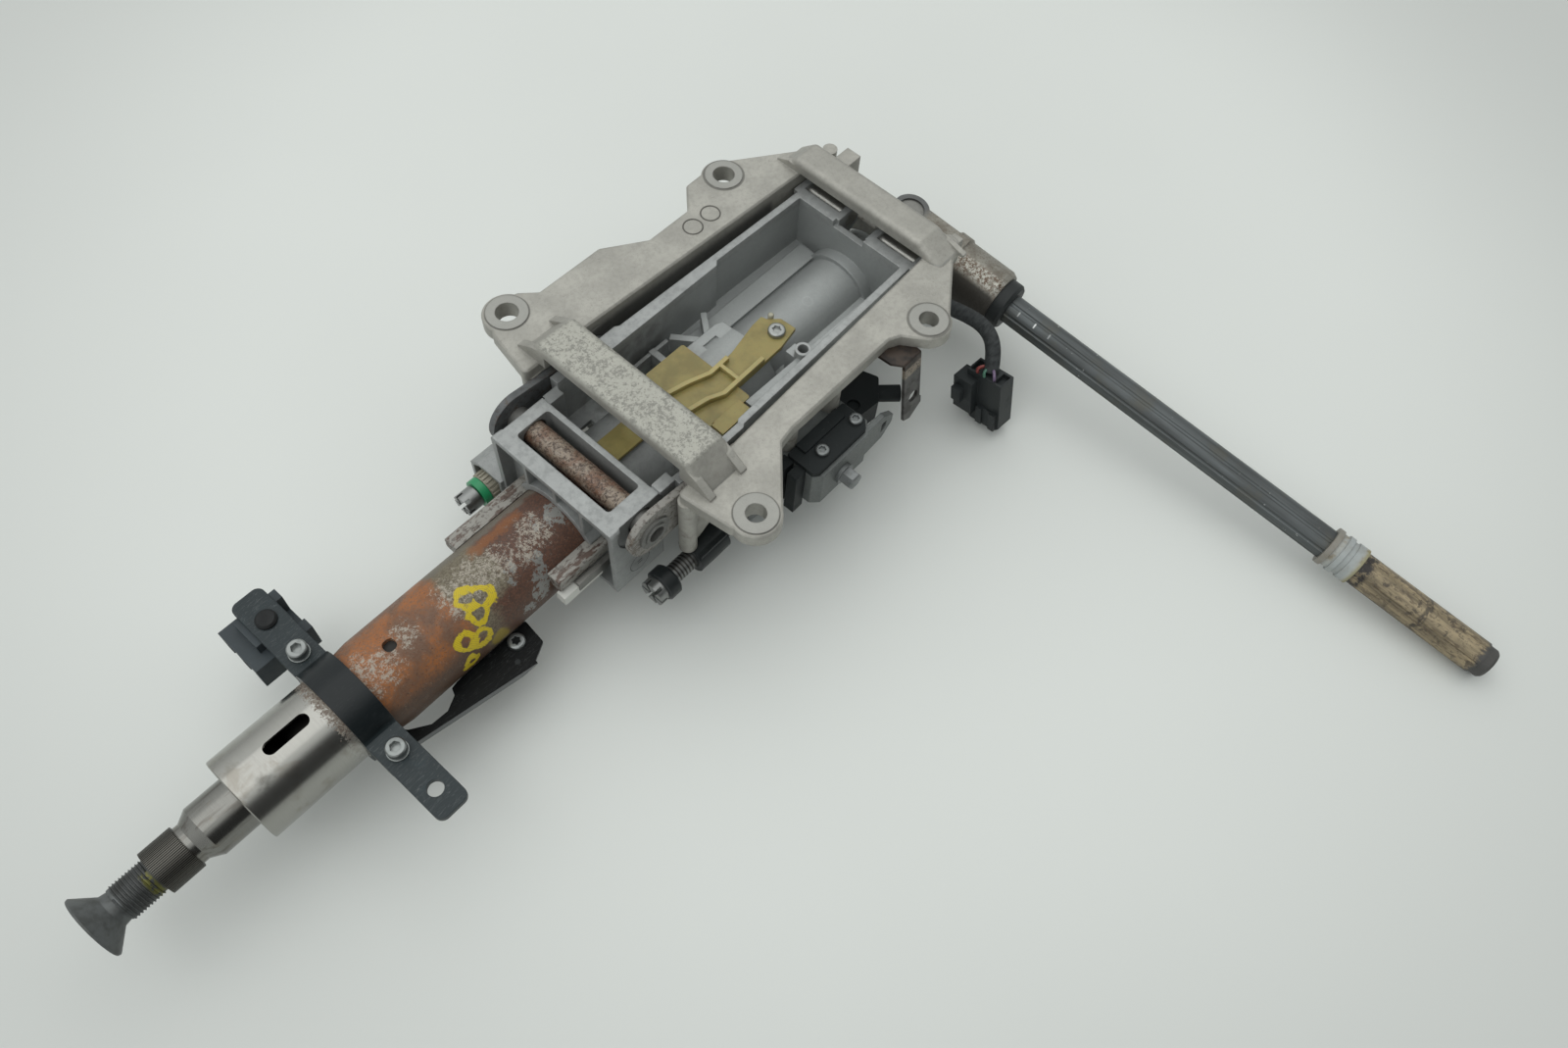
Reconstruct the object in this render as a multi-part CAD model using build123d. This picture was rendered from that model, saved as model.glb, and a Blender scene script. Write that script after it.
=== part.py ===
from build123d import *
import math
import os

# Electrically adjusted steering column with its folded intermediate shaft, in millimetres.
# The origin lies midway between the two front bolt holes, on the mounting face.
# +X runs back along the column towards the universal joint, +Y to the left, +Z up.

# Column
COLUMN_Z = -49.0
TUBE_R = 22.95
TUBE_BORE_R = 20.4
TUBE_X = (-159.0, 45.0)
SLEEVE_R = 21.65
SLEEVE_X = (-232.6, -159.0)
SLEEVE_WALL = 1.6
SLEEVE_NECK_R = 21.0
CLAMP_X = (-183.0, -166.5)
CLAMP_SEAT_R = 22.6
CLAMP_STRAP = 2.7
CLAMP_MIDDLE_X = -174.8
LEFT_EAR_HOLE_Y = 55.3
RIGHT_EAR_HOLE_Y = -59.0
CLAMP_SCREW_Y = (31.6, -35.0)
GUIDE_GAP = 0.4
RUNNING_FIT = 0.05

# Mounting bracket
PLATE_Z = (-8.0, -0.6)
BOSS_Z = (-10.0, 0.0)
FRONT_HOLE_Y = 81.7
REAR_HOLE = (141.2, 69.5)
LEFT_HOLE_R = 5.8
RIGHT_HOLE_R = 5.0
FRONT_BRIDGE_X = (-10.0, 14.3)
FRONT_BRIDGE_TOP = 13.5
FRONT_BRIDGE_SLOPE = (48.0, 60.0)
REAR_BRIDGE_X = (170.0, 188.6)
REAR_BRIDGE_TOP = 7.4
REAR_BRIDGE_LEFT = (45.0, 54.0)
REAR_BRIDGE_RIGHT = (38.0, 54.0)
REAR_WEB_X = (184.5, 188.0)
REAR_WEB_LOW = -36.0
REAR_WEB_ARCH_R = 22.0
REAR_SLOT_Y = (-2.0, 14.0)
REAR_SLOT_Z = (-20.0, -17.0)
LEFT_WEB_Z = -34.0
WINDOW_FRONT_Y = 48.5
WINDOW_REAR_Y = 42.0
CHEEK_Y = (48.0, 53.5)
REAR_CHEEK_Y = (42.0, 50.0)
TAB_THICKNESS = 1.8
TAB_BEND_Y = -76.0
TAB_LEAN = 9.0
TAB_HOLE = (-5.5, -29.0)
TAB_HOLE_R = 3.5

# Tilt mechanism
TILT_HINGE = (177.0, -15.0)
TILT_PIN_R = 5.0
CROSS_PIN = (-31.0, -19.0)
CROSS_PIN_R = 6.2
CROSS_PIN_CLEARANCE = 1.0
LEVER_PIVOT = (22.0, -20.0)
LEVER_PIN_R = 4.0
LEVER_Y = (43.8, 47.5)
NUT_X = -4.0
TILT_SPINDLE = (-54.0, -60.0)
TILT_SPINDLE_R = 5.0

# Reach mechanism
REACH_SPINDLE = (49.5, -62.0)
REACH_SPINDLE_R = 4.0
REACH_TRAVEL = (-30.0, 18.0)
CARRIER_X = (2.0, 20.0)

# Motors
MOTOR_R = 15.0
FLOOR_Z = -96.0
MOTOR_Z = FLOOR_Z + MOTOR_R
TILT_MOTOR_Y = -38.0
REACH_MOTOR_Y = 35.0

# Tilt housing
BLOCK_X = (-50.0, -18.5)
BLOCK_Y = 40.0
BLOCK_Z = (-65.0, -10.5)
RIM_Z = -8.0
TRAY_FLOOR_Z = -40.0
WALL = 3.0
BARREL_R = 27.0
BARREL_END_X = 83.0
NOSE_R = 20.0
NOSE_END_X = 190.0
NOSE_BORE_R = 14.0
REAR_WALL_X = 163.4
BEARING_X = (160.0, 172.0)
BEARING_R = 17.0

# Shafts
SHAFT_R = 12.95
SPLINE_R = 11.0
SPLINE_X = (-274.0, -259.0)
SERRATIONS = 40
SERRATION_WIDTH = 0.4
SERRATION_DEPTH = 0.5
LOWER_SHAFT_R = 10.0
SLIDE_SHAFT_R = 8.3
SLIDE_BORE_R = 8.6

# Universal joint and intermediate shaft
JOINT_X = 219.5
JOINT_ROLL = 5.5
JOINT_BEND = 88.3
EAR_Y = (13.0, 18.0)
EAR_R = 10.5
ARM_WIDTH = 14.0
CUP_R = 7.5
TRUNNION_R = 5.0
YOKE_SLEEVE_R = 17.0
FLUTED_R = 8.4
SLIDING_R = 9.4
SLIDING_NECK_R = 9.1
FLUTES = 8
SLIDING_GROOVES = 6

# Wiring harness
HARNESS_R = 4.25
HARNESS_ROUTE = [(184, -50, -41), (190, -62, -43), (193, -78, -45), (186, -90, -48), (178.6, -94.7, -57)]
PLUG_TURN = -4.0
PLUG_LEAN = -12.0


def block(x, y, z):
    """Box between the low and high ends given for each axis."""
    centre = [(low + high) / 2 for low, high in (x, y, z)]
    size = [high - low for low, high in (x, y, z)]
    return Pos(*centre) * Box(*size)


def rod_x(x, r, y=0, z=COLUMN_Z):
    """Cylinder along X, on the column axis unless told otherwise."""
    return Pos((x[0] + x[1]) / 2, y, z) * Rot(0, 90, 0) * Cylinder(r, x[1] - x[0])


def rod_y(y, r, x, z):
    """Cylinder along Y."""
    return Pos(x, (y[0] + y[1]) / 2, z) * Rot(90, 0, 0) * Cylinder(r, y[1] - y[0])


def rod_z(z, r, x, y):
    """Cylinder along Z."""
    return Pos(x, y, (z[0] + z[1]) / 2) * Cylinder(r, z[1] - z[0])


def ring_x(x, inner, outer, y=0, z=COLUMN_Z):
    """Tube along X."""
    return rod_x(x, outer, y, z) - rod_x(x, inner, y, z)


def outline(points, radius=0):
    """Closed face through the points, with its corners rounded."""
    if radius:
        return make_face(FilletPolyline(*points, radius=radius, close=True))
    return make_face(Polyline(*points, close=True))


def plate(points, z, radius=0):
    """Outline seen from above, standing between two heights."""
    return Pos(0, 0, z[0]) * extrude(outline(points, radius), z[1] - z[0], dir=(0, 0, 1))


def side_plate(points, y, radius=0):
    """Outline of X and Z, standing between two Y values."""
    face = Plane.XZ * outline(points, radius)
    return Pos(0, y[0], 0) * extrude(face, y[1] - y[0], dir=(0, 1, 0))


def cross_plate(points, x, radius=0):
    """Outline of Y and Z, standing between two X values."""
    face = Plane.YZ * outline(points, radius)
    return Pos(x[0], 0, 0) * extrude(face, x[1] - x[0], dir=(1, 0, 0))


def turned(profile, y=0, z=COLUMN_Z):
    """Profile of (x, radius) points turned about a line along X."""
    face = Plane.XZ * outline(profile)
    return Pos(0, y, z) * revolve(face, Axis.X)


def mirrored(solid):
    """The same form on the other side of the column."""
    return mirror(solid, Plane.XZ)


def both_sides(solid):
    return solid + mirrored(solid)


# Mounting bracket

def bridge(x, top, left, right, underside, window_y):
    """Raised beam over the window; each side slopes from the edge of its top down to a foot on the arm."""
    low = PLATE_Z[0]
    beam_points = [(-right[1], low), (-right[1], PLATE_Z[1]), (-right[0], top), (left[0], top), (left[1], PLATE_Z[1]),
                   (left[1], low)]
    beam = cross_plate(beam_points, x, radius=3)
    crown = [e for e in beam.edges().filter_by(Axis.Y) if e.center().Z > top - 0.1]
    beam = fillet(crown, 3.5)
    gap = cross_plate([(-window_y, low - 1), (-window_y, underside), (window_y, underside), (window_y, low - 1)],
                      (x[0] - 1, x[1] + 1))
    return beam - gap


def bridge_gusset(x, top, slope):
    """Low cast rib that runs from one edge of a bridge out onto the left arm."""
    start, foot = slope
    middle = (start + foot) / 2
    return cross_plate([(start - 4, -1), (start - 4, top - 3), (start, top - 4), (middle, top / 2), (foot + 3, 0.6),
                        (foot + 3, -1)], x)


def bracket_arm(points, front_ear_r, rear_ear_r, hole_r):
    """One side arm with its two screw ears, built on the +Y side."""
    arm = plate(points, PLATE_Z, radius=3)
    arm = chamfer(arm.faces().sort_by(Axis.Z)[-1].edges(), 1.0)
    for (x, y), ear_r in (((0, FRONT_HOLE_Y), front_ear_r), (REAR_HOLE, rear_ear_r)):
        ear = rod_z(PLATE_Z, ear_r, x, y)
        arm += chamfer(ear.faces().sort_by(Axis.Z)[-1].edges(), 1.0)
        arm += rod_z(BOSS_Z, ear_r - 2, x, y)
    for x, y in ((0, FRONT_HOLE_Y), REAR_HOLE):
        arm -= rod_z((BOSS_Z[0] - 1, BOSS_Z[1] + 1), hole_r, x, y)
    return arm


def front_cheek():
    """Web under an arm that carries a lever pivot, with its round front post."""
    web = side_plate([(-13.5, -7), (34, -7), (34, -27), (16, -32), (-7, -47), (-13.5, -47)], CHEEK_Y)
    post = rod_z((-49.5, -7), 4.5, -13.5, 52)
    return web + post - rod_y((CHEEK_Y[0] - 1, CHEEK_Y[1] + 1), LEVER_PIN_R, *LEVER_PIVOT)


def rear_cheek():
    """Web under an arm that carries a tilt pin."""
    web = side_plate([(163, -7), (190, -7), (190, -18), (184, -26), (170, -26), (163, -18)],
                     REAR_CHEEK_Y, radius=2)
    return web - rod_y((REAR_CHEEK_Y[0] - 1, REAR_CHEEK_Y[1] + 1), TILT_PIN_R + RUNNING_FIT, *TILT_HINGE)


def left_web():
    """Wall that hangs under the inner edge of the left arm, from the front cheek to the rear one."""
    return plate([(34, 47.9), (163, 42), (163, 45), (34, 50.9)], (LEFT_WEB_Z, PLATE_Z[0] + 1))


def rear_web():
    """Cross wall under the rear bridge, arched over the shaft, with the rectangular slot in its middle."""
    wall = block(REAR_WEB_X, (-REAR_CHEEK_Y[0] - 1, REAR_CHEEK_Y[0] + 1), (-18, 1))
    wall += block(REAR_WEB_X, (-REAR_CHEEK_Y[0], REAR_CHEEK_Y[0]), (REAR_WEB_LOW, -17))
    cut_x = (REAR_WEB_X[0] - 1, REAR_WEB_X[1] + 1)
    return wall - rod_x(cut_x, REAR_WEB_ARCH_R) - block(cut_x, REAR_SLOT_Y, REAR_SLOT_Z)


def bracket_casting():
    left = [(-19, 48.6), (-13.6, 77), (-6, 90), (12, 88), (20, 80.5), (60, 80), (82, 66), (110, 66),
            (122, 78.5), (146, 79), (183, 54), (193.5, 48), (195, 40), (163, 42), (20, 48.5)]
    right = [(-17, 48.6), (-13, 78), (-6, 91), (9, 90), (37, 64.5), (46, 63), (118, 63), (124, 66),
             (133, 79), (149, 77), (183, 53), (194, 48.5), (195, 40), (163, 42), (20, 48.5)]
    casting = bracket_arm(left, 12.5, 12, LEFT_HOLE_R)
    casting += mirrored(bracket_arm(right, 12.5, 12, RIGHT_HOLE_R))
    casting += bridge(FRONT_BRIDGE_X, FRONT_BRIDGE_TOP, FRONT_BRIDGE_SLOPE, FRONT_BRIDGE_SLOPE, 6.5, WINDOW_FRONT_Y)
    casting += bridge(REAR_BRIDGE_X, REAR_BRIDGE_TOP, REAR_BRIDGE_LEFT, REAR_BRIDGE_RIGHT, 0, WINDOW_REAR_Y)
    x_front, x_back = FRONT_BRIDGE_X
    gussets = bridge_gusset((x_front, x_front + 4), FRONT_BRIDGE_TOP, FRONT_BRIDGE_SLOPE)
    gussets += bridge_gusset((x_back - 4, x_back), FRONT_BRIDGE_TOP, FRONT_BRIDGE_SLOPE)
    casting += both_sides(gussets + front_cheek() + rear_cheek())
    casting += bridge_gusset((REAR_BRIDGE_X[0], REAR_BRIDGE_X[0] + 3), REAR_BRIDGE_TOP, REAR_BRIDGE_LEFT)
    casting += mirrored(bridge_gusset((REAR_BRIDGE_X[1] - 3, REAR_BRIDGE_X[1]), REAR_BRIDGE_TOP, REAR_BRIDGE_RIGHT))
    casting += left_web() + rear_web()
    round_lug = rod_z((-8, -0.6), 4, 196, 42)
    hook_lug = block((188, 199.5), (24, 33), (-3, 4)) + block((194, 199.5), (24, 33), (-14, 0))
    right_lug = block((189, 199), (-48, -42), (-16, -4))
    gear_posts = rod_z((-28, -7), 5, 52, -56) + rod_z((-28, -7), 5, 84, -56)
    return casting + round_lug + hook_lug + right_lug + gear_posts


def stamped_tab():
    """Steel strip bolted under the right arm and bent down into a blade with a hole."""
    low, high = PLATE_Z[0] - TAB_THICKNESS, PLATE_Z[0]
    foot = plate([(111, -54), (127, -54), (129, -66), (129, TAB_BEND_Y), (116, TAB_BEND_Y), (112, -70)], (low, high))
    blade = side_plate([(-13, 0), (0, 0), (0, -33), (1.2, -34.5), (1.2, -39), (-8, -44), (-13, -42)],
                       (0, TAB_THICKNESS))
    blade -= rod_y((-1, TAB_THICKNESS + 1), TAB_HOLE_R, *TAB_HOLE)
    tab = foot + tab_place() * blade
    bend = [e for e in tab.edges().filter_by(Axis.X) if e.center().Y < TAB_BEND_Y + 0.5 and e.center().Z > high - 0.1]
    return fillet(bend, 1.4)


def tab_place():
    """Frame of the blade: its upper rear corner, leaning out a little."""
    return Pos(129, TAB_BEND_Y, PLATE_Z[0]) * Rot(-TAB_LEAN, 0, 0)


def lever_pin():
    """Fixed pivot of one swing lever, with its head outside the cheek."""
    pin = rod_y((LEVER_Y[0] - 0.3, CHEEK_Y[1]), LEVER_PIN_R, *LEVER_PIVOT)
    return pin + rod_y((CHEEK_Y[1], CHEEK_Y[1] + 2.5), 6.5, *LEVER_PIVOT)


# Tilt drive, carried by the bracket

def tilt_gear_case():
    """Casting around the spindle end, with a saddle for the motor and a slotted ear."""
    y_spindle, z_spindle = TILT_SPINDLE
    case = plate([(46, -60), (46, -78), (50, -82), (84, -82), (90, -76), (90, -52), (48, -52), (46, -56)],
                 (-52, -28))
    lobe = cross_plate([(-66, -50), (-52, -50), (-44.5, -54), (-44.5, -68), (-60, -70), (-66, -62)], (46, 70),
                       radius=3)
    saddle = ring_x((50, 66), MOTOR_R, MOTOR_R + 3, TILT_MOTOR_Y, MOTOR_Z)
    saddle &= cross_plate([(-58, -60), (-20, -60), (-30, -84), (-58, -90)], (49, 67))
    ear = side_plate([(82, -50), (99, -48), (106, -40), (106, -34), (98, -28), (82, -28)], (-81, -78))
    ear -= side_plate([(97, -43), (101, -39), (101, -34), (97, -34)], (-82, -77), radius=1)
    case += lobe + saddle + ear
    return case - rod_x((40, 64), TILT_SPINDLE_R + RUNNING_FIT, y_spindle, z_spindle)


def tilt_gear_cover():
    """Moulded lid with a stiffening step and two ribbed lobes at its front."""
    lid = plate([(46, -61.5), (46, -78), (49, -80), (84, -80), (88, -76), (88, -61.5)], (-28, -25), radius=1.5)
    lid += plate([(52, -61.5), (52, -68), (82, -68), (82, -61.5)], (-25, -23.5))
    lobes = block((39, 46), (-74, -68), (-58, -27)) + block((39, 46), (-66, -60), (-56, -27))
    return lid + lobes


def gear_case_bolt():
    """Flanged hexagon bolt in the side of the gear case."""
    bolt = rod_y((-84, -82), 5.8, 66, -42)
    head = Pos(66, -84, -42) * Rot(90, 0, 0) * extrude(RegularPolygon(4.9, 6), 7)
    return bolt + chamfer(head.faces().sort_by(Axis.Y)[0].edges(), 0.8)


def motor(x, y):
    """Can of a small direct-current motor, with its end boss and connector."""
    profile = [(x[0], 0), (x[0], 5), (x[0] + 3, 5), (x[0] + 3, 12), (x[0] + 5, MOTOR_R), (x[1] - 8, MOTOR_R),
               (x[1] - 8, 13.5), (x[1] - 2, 13.5), (x[1], 10), (x[1], 0)]
    can = turned(profile, y, MOTOR_Z)
    plug = block((x[1] - 8, x[1] + 4), (y - 6, y + 6), (MOTOR_Z, MOTOR_Z + 12))
    return can + plug


def sensor_block():
    """Moulded electrical housing behind the gear case, with its round stud."""
    body = plate([(90, -66), (90, -48), (120, -46), (124, -58), (112, -68)], (-57, -42), radius=2)
    body -= rod_z((-44, -40), 3.5, 101, -60)
    stud = Pos(121.5, -65, -47.5) * Rot(0, 0, -45) * Rot(0, 90, 0) * Cylinder(4.5, 16)
    return body + stud


def harness_clip():
    """Gland under the rear cheek that the wiring harness comes out of."""
    clip = block((174, 189), (-50, -42.5), (-47, -26))
    return chamfer([e for e in clip.edges().filter_by(Axis.Y) if e.center().Z < -40], 3)


def harness_radii():
    """Largest arc that each corner of the harness leaves room for."""
    corners = [Vector(*p) for p in HARNESS_ROUTE]
    radii = []
    for before, corner, after in zip(corners, corners[1:], corners[2:]):
        into = corner - before
        out = after - corner
        half_turn = math.radians(into.get_angle(out)) / 2
        radii.append(0.45 * min(into.length, out.length) / math.tan(half_turn))
    return radii


def harness():
    path = FilletPolyline(*HARNESS_ROUTE, radius=harness_radii())
    section = Plane(origin=path @ 0, z_dir=path % 0) * Circle(HARNESS_R)
    tube = sweep(section, path=path)
    share = tube.volume / (section.area * path.length)
    print(f"harness length {path.length:.1f}, radii {[round(r, 1) for r in harness_radii()]}, share {share:.4f}")
    return tube


def connector():
    """Multi-way plug at the end of the harness, with its latch and side rails."""
    body = block((-5.5, 5.5), (-11.5, 11.5), (-36, 0))
    body = chamfer(body.faces().sort_by(Axis.Z)[0].edges().filter_by(Axis.X), 3)
    body -= block((-4, 4), (-10.5, -6), (-3, 1)) + block((-4, 4), (6, 10.5), (-3, 1))
    body += block((-11, 0), (4, 16.5), (-27, -4))
    body += block((-15, -11), (9, 15), (-18, -9))
    body += block((-8, -5), (-10, 3), (-34, -22)) - block((-9, -6.5), (-6, -1), (-35, -21))
    body += block((5, 6.8), (-9, 9), (-30, -9)) - block((6.2, 7), (-6, 6), (-27, -12))
    place = Pos(*HARNESS_ROUTE[-1]) * Rot(0, 0, PLUG_TURN) * Rot(PLUG_LEAN, 0, 0)
    return place * body


# Tilt housing

def front_block():
    """Ribbed block around the column tube, with the window over the cross pin."""
    solid = block(BLOCK_X, (-BLOCK_Y, BLOCK_Y), BLOCK_Z)
    corners = [e for e in solid.edges().filter_by(Axis.X)]
    solid = chamfer(corners, 1.2)
    recess_x = (BLOCK_X[0] - 1, BLOCK_X[0] + 7)
    recess = block(recess_x, (-BLOCK_Y + WALL, BLOCK_Y - WALL), (BLOCK_Z[0] + WALL, BLOCK_Z[1] - WALL))
    for y in (-19.5, -2, 17.5):
        recess -= block(recess_x, (y - 1, y + 1), (COLUMN_Z, BLOCK_Z[1]))
    recess -= rod_x(recess_x, BARREL_R)
    solid -= recess
    solid += block((BLOCK_X[1], -9), (-BLOCK_Y, -34), (-48, RIM_Z))
    solid += block((BLOCK_X[1], -9), (34, BLOCK_Y), (-48, -12))
    return solid


def tray():
    """Open trough behind the block, wider at the front, with its stepped rim."""
    outer = [(-9, -43.2), (34, -43.2), (36, -41.8), (167, -38.3), (167, 38.3), (36, 41.8), (34, 43.2), (-9, 43.2)]
    inner = [(-18.5, -37), (10, -39.4), (34, -39.4), (36, -38), (REAR_WALL_X, -34.5), (REAR_WALL_X, 34.5),
             (100.5, 36.2), (98, 34), (20, 34), (20, 38), (-18.5, 38)]
    walls = plate(outer, (TRAY_FLOOR_Z - WALL, RIM_Z))
    walls += block((163.4, 170.5), (11, 37.8), (-40, RIM_Z))
    walls += block((163.4, 170.5), (-37.7, -9.5), (-40, RIM_Z))
    walls -= plate(inner, (TRAY_FLOOR_Z, RIM_Z + 1))
    return walls - block((160, 168), (-9.5, 11), (-12, RIM_Z + 1))


def tray_details():
    """Ledges, ribs, pad, collar and screw bosses inside the trough."""
    left_ledge = block((70, 160), (17, 28.5), (TRAY_FLOOR_Z - 1, -36))
    right_ledge = plate([(49, -31), (141, -32.5), (141, -36.5), (49, -39)], (TRAY_FLOOR_Z - 1, -14))
    right_ledge -= block((56, 63), (-38, -36), (-18, -13))
    pad = plate([(57, -2), (83, -2), (83, 15), (79, 17), (57, 17)], (-32, -23.5))
    pad -= block((64.4, 73.7), (5.6, 11.8), (-26, -23))
    left_branch = plate([(66.5, 17), (57.5, 29), (60.5, 31), (69.5, 19)], (-41, -27))
    right_branch = plate([(72.6, 19), (81, 29.5), (83.5, 27.5), (75.4, 17)], (-41, -27))
    cross_rib = block((44.4, 48.1), (20.4, 31), (-41, -27))
    long_rib = block((20, 57), (29, 31), (-41, -28))
    arch = rod_x((157, REAR_WALL_X + 1), 22.5)
    arm_boss = rod_z((-34, -20), 5, 96.4, -8.6)
    screw_boss = rod_z((-35, -10), 4.2, 90, -32) + block((86.5, 93.5), (-34, -24), (-36, -16))
    details = left_ledge + right_ledge + pad + left_branch + right_branch + cross_rib + long_rib
    return details + arch + arm_boss + screw_boss - rod_z((-22, -9), 2.7, 90, -32)


def tilt_ears():
    """Two pairs of ears behind the rear wall, on the tilt axis."""
    ear_points = [(166, -27), (172, -27), (183, -20), (183, -10), (180, RIM_Z), (166, RIM_Z)]
    return both_sides(side_plate(ear_points, (9, 13)) + side_plate(ear_points, (37, 41)))


def spindle_pocket():
    """Open pocket on the left flank that seats the front end of the reach spindle."""
    points = [(39, -73), (62, -73), (62, -54), (56, -49.5), (39, -49.5)]
    pocket = cross_plate(points, (-52, -38))
    inside = cross_plate([(40.8, -71), (60, -71), (60, -55), (55, -51.5), (40.8, -51.5)], (-53, -40))
    return pocket - inside


def housing_casting():
    casting = front_block() + tray()
    casting += rod_x((BLOCK_X[0], BARREL_END_X), BARREL_R)
    casting += rod_x((BARREL_END_X, NOSE_END_X), NOSE_R)
    casting += tray_details() + tilt_ears() + spindle_pocket()
    casting += block((52, 78), (20, 45), (-60, -42))
    casting -= rod_x((BLOCK_X[0] - 1, 66), TUBE_R + GUIDE_GAP)
    casting -= rod_x((60, NOSE_END_X + 1), NOSE_BORE_R)
    casting -= rod_x(BEARING_X, BEARING_R)
    window = plate([(-41.5, -29.5), (-21.5, -29.5), (-21.5, 31.5), (-41.5, 31.5)], (-32, -9), radius=2)
    casting -= window
    pin_x, pin_z = CROSS_PIN
    casting -= rod_y((-45, 45), CROSS_PIN_R + CROSS_PIN_CLEARANCE, pin_x, pin_z)
    casting -= both_sides(rod_y((BLOCK_Y - 1.5, BLOCK_Y + 1), 15.3, pin_x, pin_z))
    casting -= both_sides(block((BLOCK_X[0] - 3, 1), (20, 29.2), (-45.8, -36.3)))
    casting -= block((BLOCK_X[0] - 3, -18), (-32, -28), (-50, -44))
    slot_x = (CARRIER_X[0] + REACH_TRAVEL[0] - 2, CARRIER_X[1] + REACH_TRAVEL[1] + 2)
    casting -= block(slot_x, (16, 47), (-63.5, -51.5))
    y, z = REACH_SPINDLE
    casting -= rod_x((-53, -37), REACH_SPINDLE_R + 1, y, z)
    casting -= both_sides(rod_y((8, 42), TILT_PIN_R, *TILT_HINGE))
    return casting


def guide_plate():
    """Moulded cable guide: flat plate, stepped tab and ribbed arm to its screw."""
    guide = plate([(28, -29), (55, -29), (55, 17), (28, 17)], (-20, -18), radius=1.5)
    guide += plate([(-17, -8.5), (29, -8.5), (29, 5.7), (-17, 5.7)], (-20, -18))
    guide += plate([(26, -37.5), (46, -37.5), (46, -30), (26, -30)], (-13, -11))
    slope = cross_plate([(-31, -13), (-31, -11), (-29.5, -11), (-27, -18), (-27, -20), (-29, -20)], (28, 46))
    arm = plate([(27, 1), (38, -1.5), (50, -5.5), (68, -4.5), (87.8, -0.3), (95.1, 0.2), (96.1, -2.9), (101.2, -8),
                 (101.8, -17.3), (87.8, -19.9), (68.6, -20.5), (45.9, -21), (38, -17.5), (27, -15.5)], (-20, -17.5))
    foot = block((34, 40), (-3, 3), (-22, -20))
    return guide + slope + arm + guide_ribs() + foot


def guide_ribs():
    """Raised edges along the arm of the cable guide and the web between them."""
    upper = plate([(27, 1), (38, -1.5), (50, -5.5), (63, -5), (63, -7.3), (50, -7.8), (38, -3.8), (27, -1.3)],
                  (-18, -14.5))
    lower = plate([(27, -15.5), (38, -17.5), (46, -21), (75, -20.3), (75, -18), (46, -18.7), (38, -15.2),
                   (27, -13.2)], (-18, -14.5))
    web = block((56, 58), (-19, -6), (-18, -14.5))
    return upper + lower + web


def pivot_pin():
    return rod_y((9, 47), TILT_PIN_R, *TILT_HINGE)


def lower_bearing():
    """Ball bearing of the lower shaft, as two rings and a sealed gap."""
    ring = ring_x(BEARING_X, LOWER_SHAFT_R + RUNNING_FIT, BEARING_R)
    groove = ring_x((BEARING_X[1] - 0.8, BEARING_X[1] + 1), 12.5, 14.5)
    return ring - groove


def reach_gear_case():
    """Casting around the rear end of the reach spindle, with a saddle for its motor."""
    case = cross_plate([(45, -50), (58, -50), (61, -56), (61, -68), (54, -72), (45, -72)], (52, 78), radius=1)
    saddle = ring_x((54, 70), MOTOR_R, MOTOR_R + 3, REACH_MOTOR_Y, MOTOR_Z)
    saddle &= cross_plate([(28, -62), (56, -62), (56, -90), (28, -70)], (53, 71))
    y, z = REACH_SPINDLE
    case -= rod_x((51, 79), MOTOR_R, REACH_MOTOR_Y, MOTOR_Z)
    return case + saddle - rod_x((50, 70), REACH_SPINDLE_R + RUNNING_FIT, y, z)


def spindle_bearing():
    """Ribbed plastic bearing nut in the pocket at the front of the reach spindle."""
    y, z = REACH_SPINDLE
    nut = rod_x((-56, -42), 7.6, y, z)
    for i in range(20):
        angle = 2 * math.pi * i / 20
        rib = block((-55.5, -42), (7.2, 8.4), (-0.6, 0.6))
        nut += Pos(0, y, z) * Rot(math.degrees(angle), 0, 0) * rib
    return nut - rod_x((-57, -39), REACH_SPINDLE_R + RUNNING_FIT, y, z) + ring_x((-42, -40), 5.5, 7.6, y, z)


def outer_rail():
    """Hardened strip in the block that the right-hand rollers run on."""
    return block((-66, -18), (-32, -29.2), (-50, -44))


def roller_cage():
    """Plastic end of the roller cage, standing out of the block below the rail."""
    cage = block((-75, -51), (-31.5, -25.5), (-53, -50)) + block((-75, -66), (-31.5, -26), (-50, -46.5))
    return cage - rod_x((-80, -50), TUBE_R + GUIDE_GAP)


# Column tube and what moves with it in reach

def column_tube():
    x0, x1 = TUBE_X
    tube = turned([(CLAMP_X[1], SLEEVE_NECK_R), (CLAMP_X[1], 22), (x0, TUBE_R), (x1, TUBE_R), (x1, TUBE_BORE_R),
                   (x0, TUBE_BORE_R), (x0, SLEEVE_NECK_R)])
    hole = plate([(-150.5, -3.9), (-144.5, -3.9), (-144.5, 2.1), (-150.5, 2.1)], (-35, -20), radius=2.4)
    return tube - hole


def front_sleeve():
    """Machined sleeve with the lock slot, pressed into the column tube."""
    bore = SLEEVE_R - SLEEVE_WALL
    x0, x1 = SLEEVE_X
    profile = [(x0, bore), (x0, SLEEVE_R - 0.5), (x0 + 0.5, SLEEVE_R), (CLAMP_X[0], SLEEVE_R),
               (CLAMP_X[0], CLAMP_SEAT_R), (CLAMP_X[1], CLAMP_SEAT_R), (CLAMP_X[1], SLEEVE_NECK_R),
               (x1, SLEEVE_NECK_R), (x1, TUBE_BORE_R), (x1 + 19, TUBE_BORE_R), (x1 + 19, 17.5), (CLAMP_X[0] - 5, 17.5),
               (CLAMP_X[0] - 5, bore)]
    slot = plate([(-213.4, -3.9), (-191.1, -3.9), (-191.1, 2.6), (-213.4, 2.6)], (-35, -20), radius=3.1)
    return turned(profile) - slot


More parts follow.
